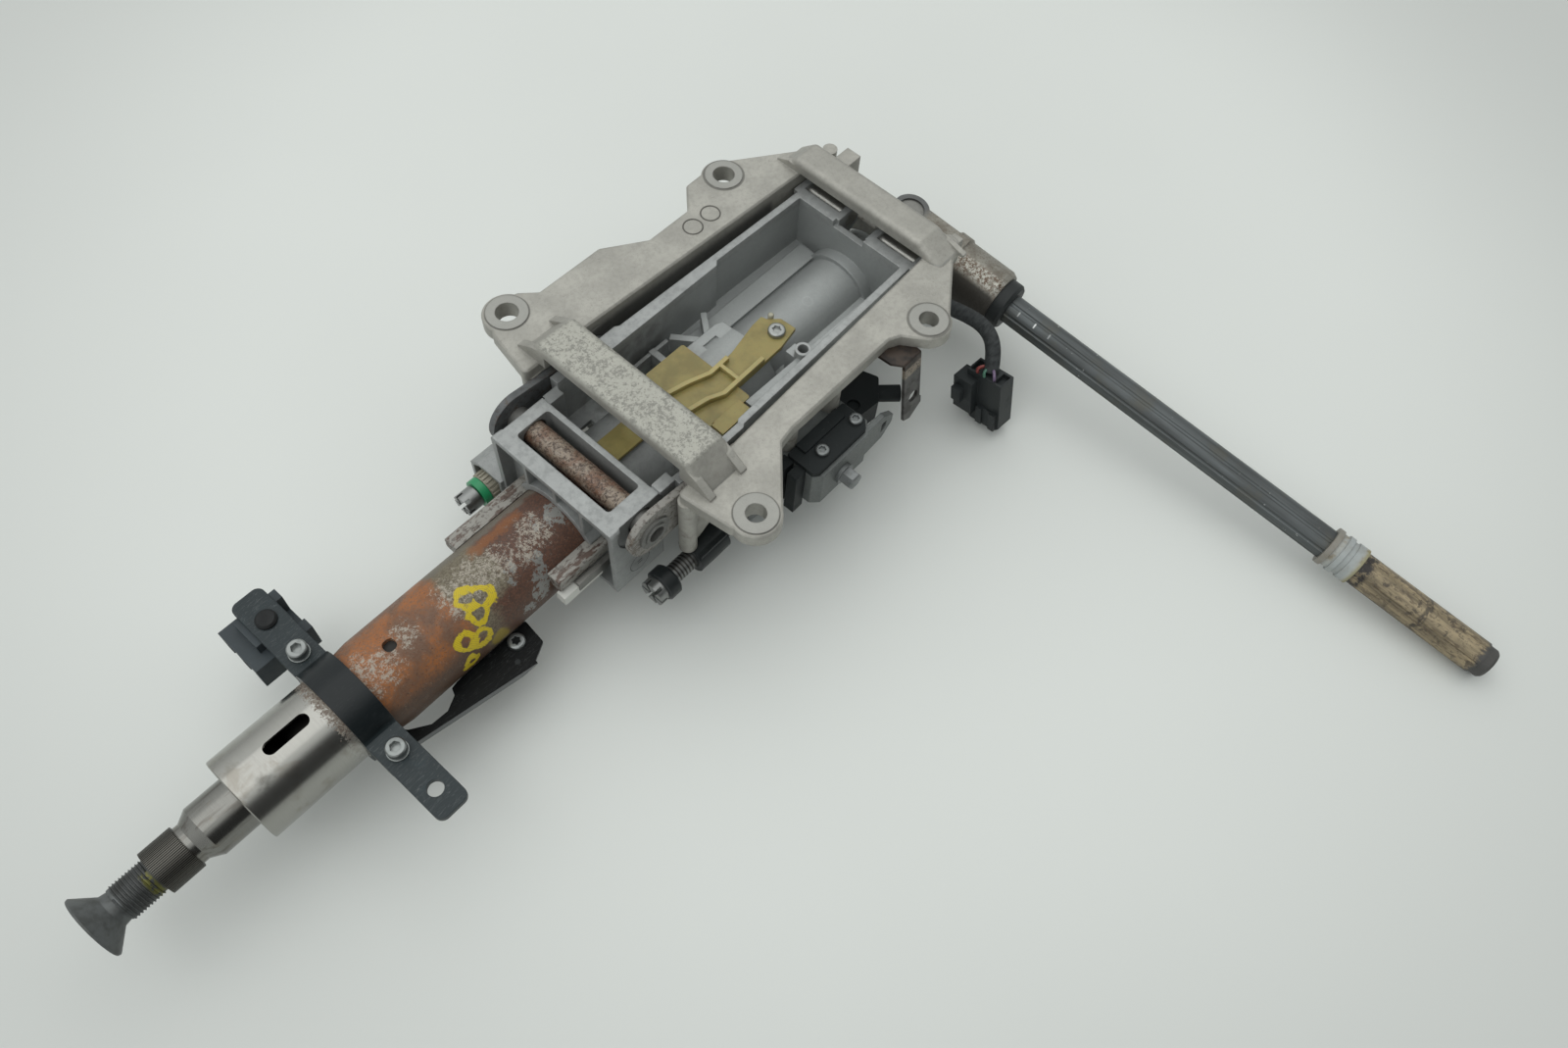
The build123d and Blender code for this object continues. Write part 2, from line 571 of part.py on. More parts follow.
def upper_bearing():
    ring = ring_x((-229, -217), SHAFT_R + RUNNING_FIT, SLEEVE_R - SLEEVE_WALL)
    return ring - ring_x((-230, -228), 15.2, 17.6)


def clamp_half(upper):
    """Half of the steering column clamp, with its two flat ears."""
    r_in = CLAMP_SEAT_R
    r_out = r_in + CLAMP_STRAP
    reach = 72 if upper else 43
    z = (COLUMN_Z + 6, COLUMN_Z + 9) if upper else (COLUMN_Z + 3, COLUMN_Z + 6)
    ears = plate([(CLAMP_X[0], -reach), (CLAMP_X[1], -reach), (CLAMP_X[1], reach), (CLAMP_X[0], reach)], z,
                 radius=4)
    strap = rod_x(CLAMP_X, r_out)
    half = (COLUMN_Z + 6, COLUMN_Z + 30) if upper else (COLUMN_Z - 30, COLUMN_Z + 6)
    strap &= block(CLAMP_X, (-30, 30), half)
    clamp = strap + ears - rod_x((CLAMP_X[0] - 1, CLAMP_X[1] + 1), r_in)
    if upper:
        for y in (LEFT_EAR_HOLE_Y, RIGHT_EAR_HOLE_Y):
            clamp -= rod_z((-50, -30), 3.8, CLAMP_MIDDLE_X, y)
    return clamp


def clamp_screw(y):
    """Socket-head screw on a flat ear of the clamp, beside the strap."""
    low = COLUMN_Z + 9
    collar = rod_z((low, low + 1.2), 5, CLAMP_MIDDLE_X, y)
    head = rod_z((low + 1.2, low + 6), 4.6, CLAMP_MIDDLE_X, y)
    head = chamfer(head.edges().sort_by(Axis.Z)[-1], 0.6)
    socket = Pos(CLAMP_MIDDLE_X, y, low + 3.5) * extrude(RegularPolygon(2.6, 6), 3)
    return collar + head - socket


def ear_clip():
    """Moulded cable clip hung under the left ear of the clamp."""
    y = LEFT_EAR_HOLE_Y
    clip = block((-193, -162), (y - 12, y + 16), (-66, -49.5))
    clip += block((-186, -166), (y - 6, y + 12), (-49.5, -43))
    clip -= block((-194, -171), (y - 8, y), (-67, -52))
    clip -= block((-194, -175), (y + 4, y + 12), (-67, -52))
    clip -= block((-168, -161), (y - 6, y + 10), (-62, -48))
    stem = rod_z((-43, -39.5), 3.6, CLAMP_MIDDLE_X, y)
    knob = rod_z((-40, -38), 5, CLAMP_MIDDLE_X, y)
    return clip + stem + chamfer(knob.edges().sort_by(Axis.Z)[-1], 1)


def stamped_arm():
    """Black pressed arm beside the column tube, welded to the clamp."""
    points = [(-180, -20), (-180, -27), (-167, -27), (-102, -38.4), (-93.2, -34), (-91.8, -21), (-93, -17),
              (-112, -17), (-128, -19), (-137.5, -21), (-139, -24.5), (-146, -28), (-155, -27.5), (-163.7, -22),
              (-166, -19)]
    arm = plate(points, (-62.5, -60.5), radius=1)
    flange = plate([(-178, -27), (-167, -27), (-102, -38.4), (-102.3, -40), (-167.2, -28.6), (-178, -28.6)],
                   (-65.5, -60.5))
    flange -= side_plate([(-112, -66), (-101, -61.5), (-101, -66)], (-42, -35))
    arm += flange - rod_x((-184, -166), CLAMP_SEAT_R + CLAMP_STRAP)
    arm -= rod_x((-184, -166), CLAMP_SEAT_R + CLAMP_STRAP)
    arm -= rod_x((-166.4, -90), TUBE_R + 0.3)
    return arm + rod_z((-60.5, -58), 3.4, -102, -26)


def tube_rail(x_front):
    """Roller track along one flank of the column tube."""
    rail = block((x_front, -20), (20, 28.5), (-45, -37))
    rail = chamfer([e for e in rail.edges().filter_by(Axis.X) if e.center().Y > 28], 1.0)
    return rail - rod_x((x_front - 1, -19), TUBE_R)


def reach_carrier():
    """Arm on the column tube that holds the reach nut."""
    y, z = REACH_SPINDLE
    arm = block(CARRIER_X, (18, 46), (-62, -53))
    nut = rod_x(CARRIER_X, 7.5, y, z)
    arm += nut
    arm -= rod_x((CARRIER_X[0] - 1, CARRIER_X[1] + 1), TUBE_R)
    return arm - rod_x((CARRIER_X[0] - 1, CARRIER_X[1] + 1), REACH_SPINDLE_R + 0.3, y, z)


# Shafts

def wheel_seat():
    """Serrated seat of the steering wheel: V-grooves around a round band."""
    half = SERRATION_WIDTH / 2
    section = Circle(SPLINE_R)
    groove = outline([(SPLINE_R - SERRATION_DEPTH, 0), (SPLINE_R + 0.1, -half), (SPLINE_R + 0.1, half)])
    for i in range(SERRATIONS):
        section -= Rot(0, 0, 360 * i / SERRATIONS) * groove
    seat = extrude(Plane.YZ * section, SPLINE_X[1] - SPLINE_X[0], dir=(1, 0, 0))
    return Pos(SPLINE_X[0], 0, COLUMN_Z) * seat


def upper_shaft():
    """Steering shaft from the wheel seat to the sliding bore inside the tube."""
    profile = [(-259, 0), (-259, 9.75), (-256, 9.75), (-250.5, SHAFT_R), (-208, SHAFT_R), (-204, 11), (10, 11),
               (10, SLIDE_BORE_R), (-130, SLIDE_BORE_R), (-130, 0)]
    return turned(profile) + wheel_seat()


def wheel_bolt():
    """Conical-headed bolt that is left in the end of the steering shaft."""
    profile = [(-303.5, 0), (-303.5, 15.2), (-302.6, 15.4), (-294.5, 8), (-291, 7.4), (-291, 8), (-274, 8),
               (-274, 0)]
    recess = Pos(-303.5, 0, COLUMN_Z) * Rot(0, 90, 0) * extrude(RegularPolygon(5, 6), 4)
    return turned(profile) - recess


def lower_shaft():
    """Steering shaft from the sliding part to the input yoke."""
    profile = [(-95, 0), (-95, SLIDE_SHAFT_R - 1), (-94, SLIDE_SHAFT_R), (62, SLIDE_SHAFT_R), (68, LOWER_SHAFT_R),
               (JOINT_X - 26, LOWER_SHAFT_R), (JOINT_X - 26, 0)]
    return turned(profile)


def yoke(hub_x):
    """Fork with two ears across Y and a round hub, about the joint centre."""
    arm_x = (-hub_x[1] + 1, 0)
    half = block(arm_x, EAR_Y, (-ARM_WIDTH / 2, ARM_WIDTH / 2))
    half += rod_y(EAR_Y, EAR_R, 0, 0)
    fork = both_sides(half)
    hub = rod_x((-hub_x[1], -hub_x[0]), EAR_Y[1] + 0.2, 0, 0)
    hub = chamfer(hub.edges(), 1.5)
    fork += hub
    return fork - rod_y((-20, 20), CUP_R, 0, 0)


def input_yoke():
    fork = yoke((21.5, 26))
    return joint_place() * (fork + ring_x((-29.5, -25.5), LOWER_SHAFT_R, 15, 0, 0))


def joint_place():
    """Joint frame: rolled so that the folded shaft lies down to the floor."""
    return Pos(JOINT_X, 0, COLUMN_Z) * Rot(JOINT_ROLL, 0, 0)


def shaft_place():
    """Frame of the intermediate shaft, with +X running away from the joint."""
    return joint_place() * Rot(0, 0, -JOINT_BEND)


def bearing_cup():
    """Needle cup of the joint, built on the +Y ear."""
    cup = rod_y((EAR_Y[0] - 2, EAR_Y[1] - 1), CUP_R, 0, 0)
    return cup - rod_y((0, EAR_Y[1] - 2.2), TRUNNION_R + RUNNING_FIT, 0, 0)


def joint_cross():
    half_span = EAR_Y[1] - 2.4
    arms = rod_y((-half_span, half_span), TRUNNION_R, 0, 0) + rod_z((-half_span, half_span), TRUNNION_R, 0, 0)
    body = Sphere(8.6) + rod_y((-10.5, 10.5), 6.6, 0, 0) + rod_z((-10.5, 10.5), 6.6, 0, 0)
    return joint_place() * (arms + body)


def output_yoke():
    """Fork of the intermediate shaft, one piece with its long sleeve."""
    fork = Rot(180, 0, 0) * Rot(0, 180, 0) * Rot(90, 0, 0) * yoke((28, 38.2))
    sleeve = turned([(37, FLUTED_R), (37, 17.4), (38.2, YOKE_SLEEVE_R), (66, YOKE_SLEEVE_R), (68.7, 15.6),
                     (68.7, FLUTED_R)], 0, 0)
    return shaft_place() * (fork + sleeve)


def seal_collar():
    return shaft_place() * turned([(68.7, FLUTED_R), (68.7, 14), (75, 14), (76.6, 12.6), (76.6, FLUTED_R)], 0, 0)


def fluted_bar(x, r, count, groove_r, depth):
    """Round bar with evenly spaced grooves along it."""
    section = Circle(r)
    centre_r = r + groove_r - depth
    for i in range(count):
        angle = 2 * math.pi * (i + 0.5) / count
        section -= Pos(centre_r * math.cos(angle), centre_r * math.sin(angle)) * Circle(groove_r)
    return Pos(x[0], 0, 0) * extrude(Plane.YZ * section, x[1] - x[0], dir=(1, 0, 0))


def fluted_tube():
    bar = rod_x((39, 76.6), FLUTED_R, 0, 0) + fluted_bar((76.6, 300), FLUTED_R, FLUTES, 1.4, 0.6)
    return shaft_place() * bar


def ribbed_sleeve():
    """Plastic end sleeve with its three rings."""
    profile = [(287.4, FLUTED_R), (287.4, 11), (290.5, 11), (290.5, 9.9), (294, 9.9), (294, 11), (297, 11),
               (297, 9.9), (300, 9.9), (300, 10.8), (306, 10.8), (306, SLIDING_NECK_R), (300, SLIDING_NECK_R),
               (300, FLUTED_R)]
    return shaft_place() * turned(profile, 0, 0)


def sliding_end():
    """Plastic-coated sliding profile at the free end, with its bare steel tip."""
    end = rod_x((300, 306), SLIDING_NECK_R, 0, 0)
    end += fluted_bar((306, 379.8), SLIDING_R, SLIDING_GROOVES, 1.0, 0.6)
    tip = turned([(379.8, 0), (379.8, 8.6), (384.5, 8.6), (385.8, 7.6), (385.8, 0)], 0, 0)
    return shaft_place() * (end + tip)


# Swing levers and spindles

def lever_blank(y):
    """Lever from the cross pin to its pivot, with rounded ends."""
    eyes = Pos(*CROSS_PIN) * Circle(14.5) + Pos(*LEVER_PIVOT) * Circle(9)
    face = Plane.XZ * make_hull(eyes.edges())
    lever = Pos(0, y[0], 0) * extrude(face, y[1] - y[0], dir=(0, 1, 0))
    lever -= rod_y((y[0] - 1, y[1] + 1), LEVER_PIN_R + RUNNING_FIT, *LEVER_PIVOT)
    return lever - rod_y((y[0] - 1, y[1] + 1), CROSS_PIN_R, *CROSS_PIN)


def lever_right():
    """Right lever, with the forked lower arm that the tilt nut drives."""
    fork_z = TILT_SPINDLE[1]
    arm_eyes = Pos(*LEVER_PIVOT) * Circle(9) + Pos(NUT_X, fork_z) * Circle(8)
    face = Plane.XZ * make_hull(arm_eyes.edges())
    arm = Pos(0, LEVER_Y[0], 0) * extrude(face, LEVER_Y[1] - LEVER_Y[0], dir=(0, 1, 0))
    arm -= block((NUT_X - 3.6, NUT_X + 3.6), (LEVER_Y[0] - 1, LEVER_Y[1] + 1), (fork_z - 12, fork_z + 7.5))
    arm -= rod_y((LEVER_Y[0] - 1, LEVER_Y[1] + 1), LEVER_PIN_R + RUNNING_FIT, *LEVER_PIVOT)
    return mirrored(lever_blank(LEVER_Y) + arm)


def cross_pin():
    """Hollow pin through the block that the two levers lift it by."""
    end = LEVER_Y[1] + 2
    pin = rod_y((-end, end), CROSS_PIN_R, *CROSS_PIN)
    pin += both_sides(rod_y((LEVER_Y[1], LEVER_Y[1] + 1.2), 9, *CROSS_PIN))
    return pin - both_sides(rod_y((end - 12, end + 1), 4.5, *CROSS_PIN))


def castellated(x, r, y, z, slots):
    """Short turned end with cross slots in its front face."""
    end = rod_x(x, r, y, z)
    for i in range(slots):
        cut = block((x[0] - 1, x[0] + 3.5), (-r - 1, r + 1), (-0.9, 0.9))
        end -= Pos(0, y, z) * Rot(180 * i / slots, 0, 0) * cut
    return end


def tilt_spindle():
    y, z = TILT_SPINDLE
    return rod_x((-37, 62), TILT_SPINDLE_R, y, z) + castellated((-41, -36), 7, y, z, 3)


def spindle_ring():
    """Black stop ring near the free end of the tilt spindle."""
    y, z = TILT_SPINDLE
    profile = [(-36, TILT_SPINDLE_R), (-36, 7.6), (-35, 8.6), (-29, 8.6), (-28, 7.6), (-28, TILT_SPINDLE_R)]
    return turned(profile, y, z)


def tilt_nut():
    """Moulded nut housing with the trunnion that works in the forked lever."""
    y, z = TILT_SPINDLE
    nut = block((-13, 5), (-60.5, -48.6), (-66.5, -52.5))
    nut += rod_x((-14, 6), 8.4, y, z) & block((-14, 6), (-63, -48.6), (-70, -51.4))
    nut += rod_y((-49, -44), 3.0, NUT_X, z)
    return nut - rod_x((-15, 7), TILT_SPINDLE_R + 0.3, y, z)


def reach_spindle():
    y, z = REACH_SPINDLE
    return rod_x((-62, 68), REACH_SPINDLE_R, y, z) + castellated((-70, -61), 6, y, z, 3)


def green_ring():
    y, z = REACH_SPINDLE
    return ring_x((-60.5, -56.3), REACH_SPINDLE_R, 7.7, y, z)


def nodes():
    """Every separate piece of the column, by name."""
    cup = bearing_cup()
    return {
        "bracket_casting": bracket_casting(),
        "stamped_tab": stamped_tab(),
        "lever_pin_left": lever_pin(),
        "lever_pin_right": mirrored(lever_pin()),
        "tilt_gear_case": tilt_gear_case(),
        "tilt_gear_cover": tilt_gear_cover(),
        "gear_case_bolt": gear_case_bolt(),
        "tilt_motor": motor((25, 95), TILT_MOTOR_Y),
        "sensor_block": sensor_block(),
        "harness_clip": harness_clip(),
        "harness": harness(),
        "connector": connector(),
        "housing_casting": housing_casting(),
        "guide_plate": guide_plate(),
        "pivot_pin_left": pivot_pin(),
        "pivot_pin_right": mirrored(pivot_pin()),
        "lower_bearing": lower_bearing(),
        "reach_gear_case": reach_gear_case(),
        "reach_motor": motor((0, 75), REACH_MOTOR_Y),
        "spindle_bearing": spindle_bearing(),
        "outer_rail": outer_rail(),
        "roller_cage": roller_cage(),
        "column_tube": column_tube(),
        "front_sleeve": front_sleeve(),
        "upper_bearing": upper_bearing(),
        "clamp_upper": clamp_half(True),
        "clamp_lower": clamp_half(False),
        "clamp_screw_left": clamp_screw(CLAMP_SCREW_Y[0]),
        "clamp_screw_right": clamp_screw(CLAMP_SCREW_Y[1]),
        "ear_clip": ear_clip(),
        "stamped_arm": stamped_arm(),
        "tube_rail_left": tube_rail(-94),
        "tube_rail_right": mirrored(tube_rail(-74)),
        "reach_carrier": reach_carrier(),
        "upper_shaft": upper_shaft(),
        "wheel_bolt": wheel_bolt(),
        "lower_shaft": lower_shaft(),
        "input_yoke": input_yoke(),
        "input_cup_left": joint_place() * cup,
        "input_cup_right": joint_place() * mirrored(cup),
        "joint_cross": joint_cross(),
        "output_yoke": output_yoke(),
        "output_cup_top": joint_place() * Rot(90, 0, 0) * cup,
        "output_cup_bottom": joint_place() * Rot(-90, 0, 0) * cup,
        "seal_collar": seal_collar(),
        "fluted_tube": fluted_tube(),
        "ribbed_sleeve": ribbed_sleeve(),
        "sliding_end": sliding_end(),
        "lever_left": lever_blank(LEVER_Y),
        "lever_right": lever_right(),
        "cross_pin": cross_pin(),
        "tilt_nut": tilt_nut(),
        "tilt_spindle": tilt_spindle(),
        "spindle_ring": spindle_ring(),
        "reach_spindle": reach_spindle(),
        "green_ring": green_ring(),
    }


os.makedirs("parts", exist_ok=True)
for name, solid in nodes().items():
    export_step(solid, f"parts/{name}.step")
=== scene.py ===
import math

import bpy
from mathutils import Matrix, Vector


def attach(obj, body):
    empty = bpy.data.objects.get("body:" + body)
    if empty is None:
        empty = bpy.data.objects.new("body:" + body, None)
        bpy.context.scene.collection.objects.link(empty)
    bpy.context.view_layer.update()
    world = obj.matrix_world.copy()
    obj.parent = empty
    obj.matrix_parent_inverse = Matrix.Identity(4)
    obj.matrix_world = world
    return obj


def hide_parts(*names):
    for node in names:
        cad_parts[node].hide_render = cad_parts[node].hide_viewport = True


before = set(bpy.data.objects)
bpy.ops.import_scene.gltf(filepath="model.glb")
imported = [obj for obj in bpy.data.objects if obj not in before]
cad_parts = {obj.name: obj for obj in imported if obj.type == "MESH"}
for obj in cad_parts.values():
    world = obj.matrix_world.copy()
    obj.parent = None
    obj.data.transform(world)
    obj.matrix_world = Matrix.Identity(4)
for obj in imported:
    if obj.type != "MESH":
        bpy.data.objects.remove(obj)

bl_info = {
    "name": "Steering column finish",
    "version": (1, 0, 0),
    "blender": (4, 5, 0),
    "location": "View3D > Sidebar > Column",
    "description": "Finishes and small fittings of an electrically adjusted steering column",
    "category": "Object",
}

# Y and Z of the axis that the shafts and the tube share
COLUMN_AXIS = (0.0, -0.049)
JOINT_CENTRE = Vector((0.2195, 0.0, -0.049))
JOINT_ROLL = math.radians(5.5)
JOINT_BEND = math.radians(88.3)
FLOOR_Z = -0.096
# Middle of the painted pool of light on the table
LIGHT_POOL_MIDDLE = (0.20, 0.05, FLOOR_Z)

# Places on the column tube, each with its reach
YELLOW_LOOPS = (((-0.1098, -0.0071, -0.0272), 0.0040), ((-0.1039, -0.0108, -0.0287), 0.0048),
                ((-0.1100, -0.0149, -0.0316), 0.0043), ((-0.1222, -0.0193, -0.0366), 0.0043),
                ((-0.1147, -0.0213, -0.0405), 0.0040), ((-0.1245, -0.0229, -0.0480), 0.0034))
ZINC_ISLANDS = (((-0.0545, -0.0040, -0.0268), 0.0058), ((-0.0735, -0.0140, -0.0308), 0.0028),
                ((-0.0765, -0.0185, -0.0360), 0.0044), ((-0.0800, -0.0220, -0.0425), 0.0050),
                ((-0.0890, -0.0229, -0.0470), 0.0034), ((-0.0860, -0.0096, -0.0282), 0.0022),
                ((-0.0895, -0.0145, -0.0312), 0.0016), ((-0.0630, -0.0015, -0.0262), 0.0024))
YELLOW_SMEAR = ((-0.1068, -0.0229, -0.0485), 0.0048)
PALE_CROWDS = (((-0.1000, -0.0020, -0.0262), 0.0110), ((-0.0900, -0.0040, -0.0265), 0.0090),
               ((-0.0660, -0.0040, -0.0265), 0.0090), ((-0.0760, -0.0075, -0.0273), 0.0070),
               ((-0.1130, 0.0000, -0.0261), 0.0075), ((-0.1140, -0.0080, -0.0275), 0.0055),
               ((-0.1565, -0.0065, -0.0270), 0.0090), ((-0.1620, 0.0005, -0.0261), 0.0060),
               ((-0.1630, -0.0090, -0.0278), 0.0060), ((-0.1400, -0.0010, -0.0262), 0.0060))

# Distance of each bright bar along the fluted tube, with its strength
TUBE_NICKS = ((0.0837, 0.5), (0.0946, 1.0), (0.1046, 0.35))

# Number of brush lines in a metre of the paint, and of ridges around the shaft
BRUSH_LINES = 1150.0
SERRATIONS = 80.0

BOLT_HOLES = ((0.0, 0.0817), (0.0, -0.0817), (0.1412, 0.0695), (0.1412, -0.0695))
HARNESS_ROUTE = [(0.184, -0.050, -0.041), (0.190, -0.062, -0.043), (0.193, -0.078, -0.045),
                 (0.186, -0.090, -0.048), (0.1786, -0.0947, -0.057)]
SLEEVE_STAIN = (-0.2205, -0.0125, -0.0255)
ARM_DIMPLE = (-0.1083, -0.0331, -0.0595)
EJECTOR_MARK = (0.1275, -0.0042, 0.0)
STAMP_CENTRE = (-0.0345, -0.0526)
LABEL_X = (-0.0175, -0.0100)
LABEL_Z = (-0.0476, -0.0442)
PRINT_EDGE = 0.0001
PLUG_TURN = math.radians(-4)
PLUG_LEAN = math.radians(-12)

CASTING_MARKS = ((0.1035, 0.056, -0.0006), (0.1165, 0.056, -0.0006))
COVER_SCREWS = ((0.0590, -0.0728, -0.025), (0.0843, -0.0728, -0.025))
ARM_SCREW = (-0.102, -0.0256, -0.0605)
GUIDE_SCREW = (0.0932, -0.0120, -0.0175)
GUIDE_STUD = (0.0988, -0.0031, -0.0225)
BOLT_THREAD = (-0.2905, -0.2745)

# Spindle, Y and Z of its axis, start and end of its thread along X, and radius of the crest
SPINDLES = (("tilt_spindle", (-0.054, -0.060), -0.0275, 0.0440, 0.00522),
            ("reach_spindle", (0.0495, -0.062), -0.0370, 0.0500, 0.00422))

# Wire, colour, and its start, first pull, second pull and end in the connector's frame, in millimetres
WIRES = (("red_wire", (0.20, 0.035, 0.03),
          ((-0.5, 3.5, 3.2), (-4.2, 5.5, 3.8), (-4.6, 6.0, 2.5), (-4.2, 5.5, -0.5))),
         ("green_wire", (0.06, 0.16, 0.11),
          ((-0.8, 1.0, 2.9), (-4.5, 1.5, 3.2), (-5.2, 0.5, 2.5), (-4.5, 0.5, -0.5))),
         ("violet_wire", (0.17, 0.12, 0.20),
          ((0.0, -1.8, 3.0), (-3.0, -4.8, 4.0), (-3.8, -5.8, 2.5), (-3.4, -5.2, -0.5))))

CAMERA_LENS = 27.99
CAMERA_PLACE = (-0.21355, -0.25057, 0.47178)
CAMERA_RIGHT = (0.662218, -0.747008, 0.058697)
CAMERA_UP = (0.632638, 0.599366, 0.490437)
CAMERA_BACK = (-0.401542, -0.287643, 0.869497)


def size_property(name, description, default, low, high):
    return bpy.props.FloatProperty(name=name, description=description, default=default, min=low, max=high,
                                   unit="LENGTH", precision=5)


class ColumnSizes(bpy.types.PropertyGroup):
    """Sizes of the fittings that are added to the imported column."""
    thread_pitch: size_property(
        "Bolt thread pitch", "Distance between two turns of the wheel bolt's thread", 0.0015, 0.0005, 0.004)
    thread_depth: size_property(
        "Bolt thread depth", "Height of the wheel bolt's thread", 0.0009, 0.0002, 0.002)
    spindle_pitch: size_property(
        "Spindle thread pitch", "Distance between two turns of the spindles' threads", 0.002, 0.0005, 0.006)
    cover_screw: size_property(
        "Cover screw head", "Radius of the screw heads on the gear cover", 0.0036, 0.001, 0.01)
    guide_screw: size_property(
        "Guide screw head", "Radius of the screw head on the cable guide", 0.0046, 0.001, 0.01)
    harness_width: size_property(
        "Harness diameter", "Diameter of the taped wiring harness", 0.0085, 0.004, 0.02)
    wire_width: size_property(
        "Wire diameter", "Diameter of one wire at the connector", 0.0018, 0.0008, 0.004)


def colour_property(name, description, default):
    return bpy.props.FloatVectorProperty(name=name, description=description, default=default, size=3,
                                         min=0.0, max=1.0, subtype="COLOR")


class ColumnColours(bpy.types.PropertyGroup):
    """Colours of the finishes."""
    bracket: colour_property("Bracket", "Cast aluminium of the mounting bracket", (0.38, 0.37, 0.335))
    housing: colour_property("Housing", "Cast aluminium of the tilt housing", (0.32, 0.33, 0.325))
    gear_case: colour_property("Gear case", "Cast metal of the gear cases", (0.14, 0.15, 0.146))
    steel: colour_property("Machined steel", "Bright turned and ground steel", (0.38, 0.375, 0.35))
    zinc: colour_property("Zinc plate", "Plated screws and bolts", (0.27, 0.285, 0.28))
    rust: colour_property("Rust", "Orange rust on the column tube", (0.27, 0.098, 0.030))
    brown: colour_property("Old rust", "Brown rust and grease", (0.105, 0.062, 0.040))
    paint: colour_property("Black paint", "Paint of the clamp", (0.020, 0.028, 0.031))
    plastic: colour_property("Black plastic", "Moulded black parts", (0.015, 0.018, 0.0185))
    guide: colour_property("Cable guide", "Yellowed translucent plastic", (0.275, 0.225, 0.075))
    cream: colour_property("Cream plastic", "Plastic of the roller cage", (0.60, 0.60, 0.56))
    green: colour_property("Green ring", "Plastic of the ring on the reach spindle", (0.02, 0.25, 0.10))
    sleeve: colour_property("Ribbed sleeve", "Dirty white plastic of the ribbed sleeve", (0.36, 0.37, 0.35))
    coating: colour_property("Sliding coat", "Greased plastic coat of the sliding end", (0.30, 0.24, 0.145))
    mark: colour_property("Paint mark", "Yellow workshop paint", (0.56, 0.43, 0.02))
    table: colour_property("Table", "Pale table under the column", (0.663, 0.682, 0.658))


def settle(item, **settings):
    """Write several settings of an item, and give it back."""
    for key, value in settings.items():
        setattr(item, key, value)
    return item


class Nodes:
    """Node tree of a finish or of the sky."""

    def __init__(self, tree):
        self.tree = tree

    def add(self, kind, inputs=None, **settings):
        node = settle(self.tree.nodes.new(kind), **settings)
        for key, value in (inputs or {}).items():
            self.feed(node.inputs[key], value)
        return node

    def feed(self, socket, value):
        """Link an output into a socket, or write a plain value there."""
        if isinstance(value, bpy.types.NodeSocket):
            self.tree.links.new(value, socket)
        elif socket.type == "RGBA":
            socket.default_value = (*value[:3], 1.0)
        else:
            socket.default_value = value

    def calc(self, operation, a, b=0.0):
        return self.add("ShaderNodeMath", {0: a, 1: b}, operation=operation).outputs[0]

    def plus(self, a, b):
        return self.calc("ADD", a, b)

    def minus(self, a, b):
        return self.calc("SUBTRACT", a, b)

    def fold(self, operation, values):
        """Join several values, one after the other."""
        joined = values[0]
        for value in values[1:]:
            joined = self.calc(operation, joined, value)
        return joined

    def times(self, *values):
        return self.fold("MULTIPLY", values)

    def either(self, *values):
        """The largest of some values."""
        return self.fold("MAXIMUM", values)

    def radius(self, a, b):
        """Distance from an axis, by the two offsets from it."""
        return self.calc("SQRT", self.plus(self.times(a, a), self.times(b, b)))

    def ease(self, value, low, high, out_low=0.0, out_high=1.0):
        """Smooth step of a value between two limits."""
        return self.add("ShaderNodeMapRange", {0: value, 1: low, 2: high, 3: out_low, 4: out_high},
                        interpolation_type="SMOOTHSTEP").outputs[0]

    def span(self, value, low, high, soft):
        """One between two limits, and nothing outside them."""
        return self.times(self.ease(value, low - soft, low + soft),
                          self.ease(value, high - soft, high + soft, 1.0, 0.0))

    def vector(self, operation, a, b):
        return self.add("ShaderNodeVectorMath", {0: a, 1: b}, operation=operation).outputs[0]

    def dot(self, a, b):
        return self.add("ShaderNodeVectorMath", {0: a, 1: b}, operation="DOT_PRODUCT").outputs["Value"]


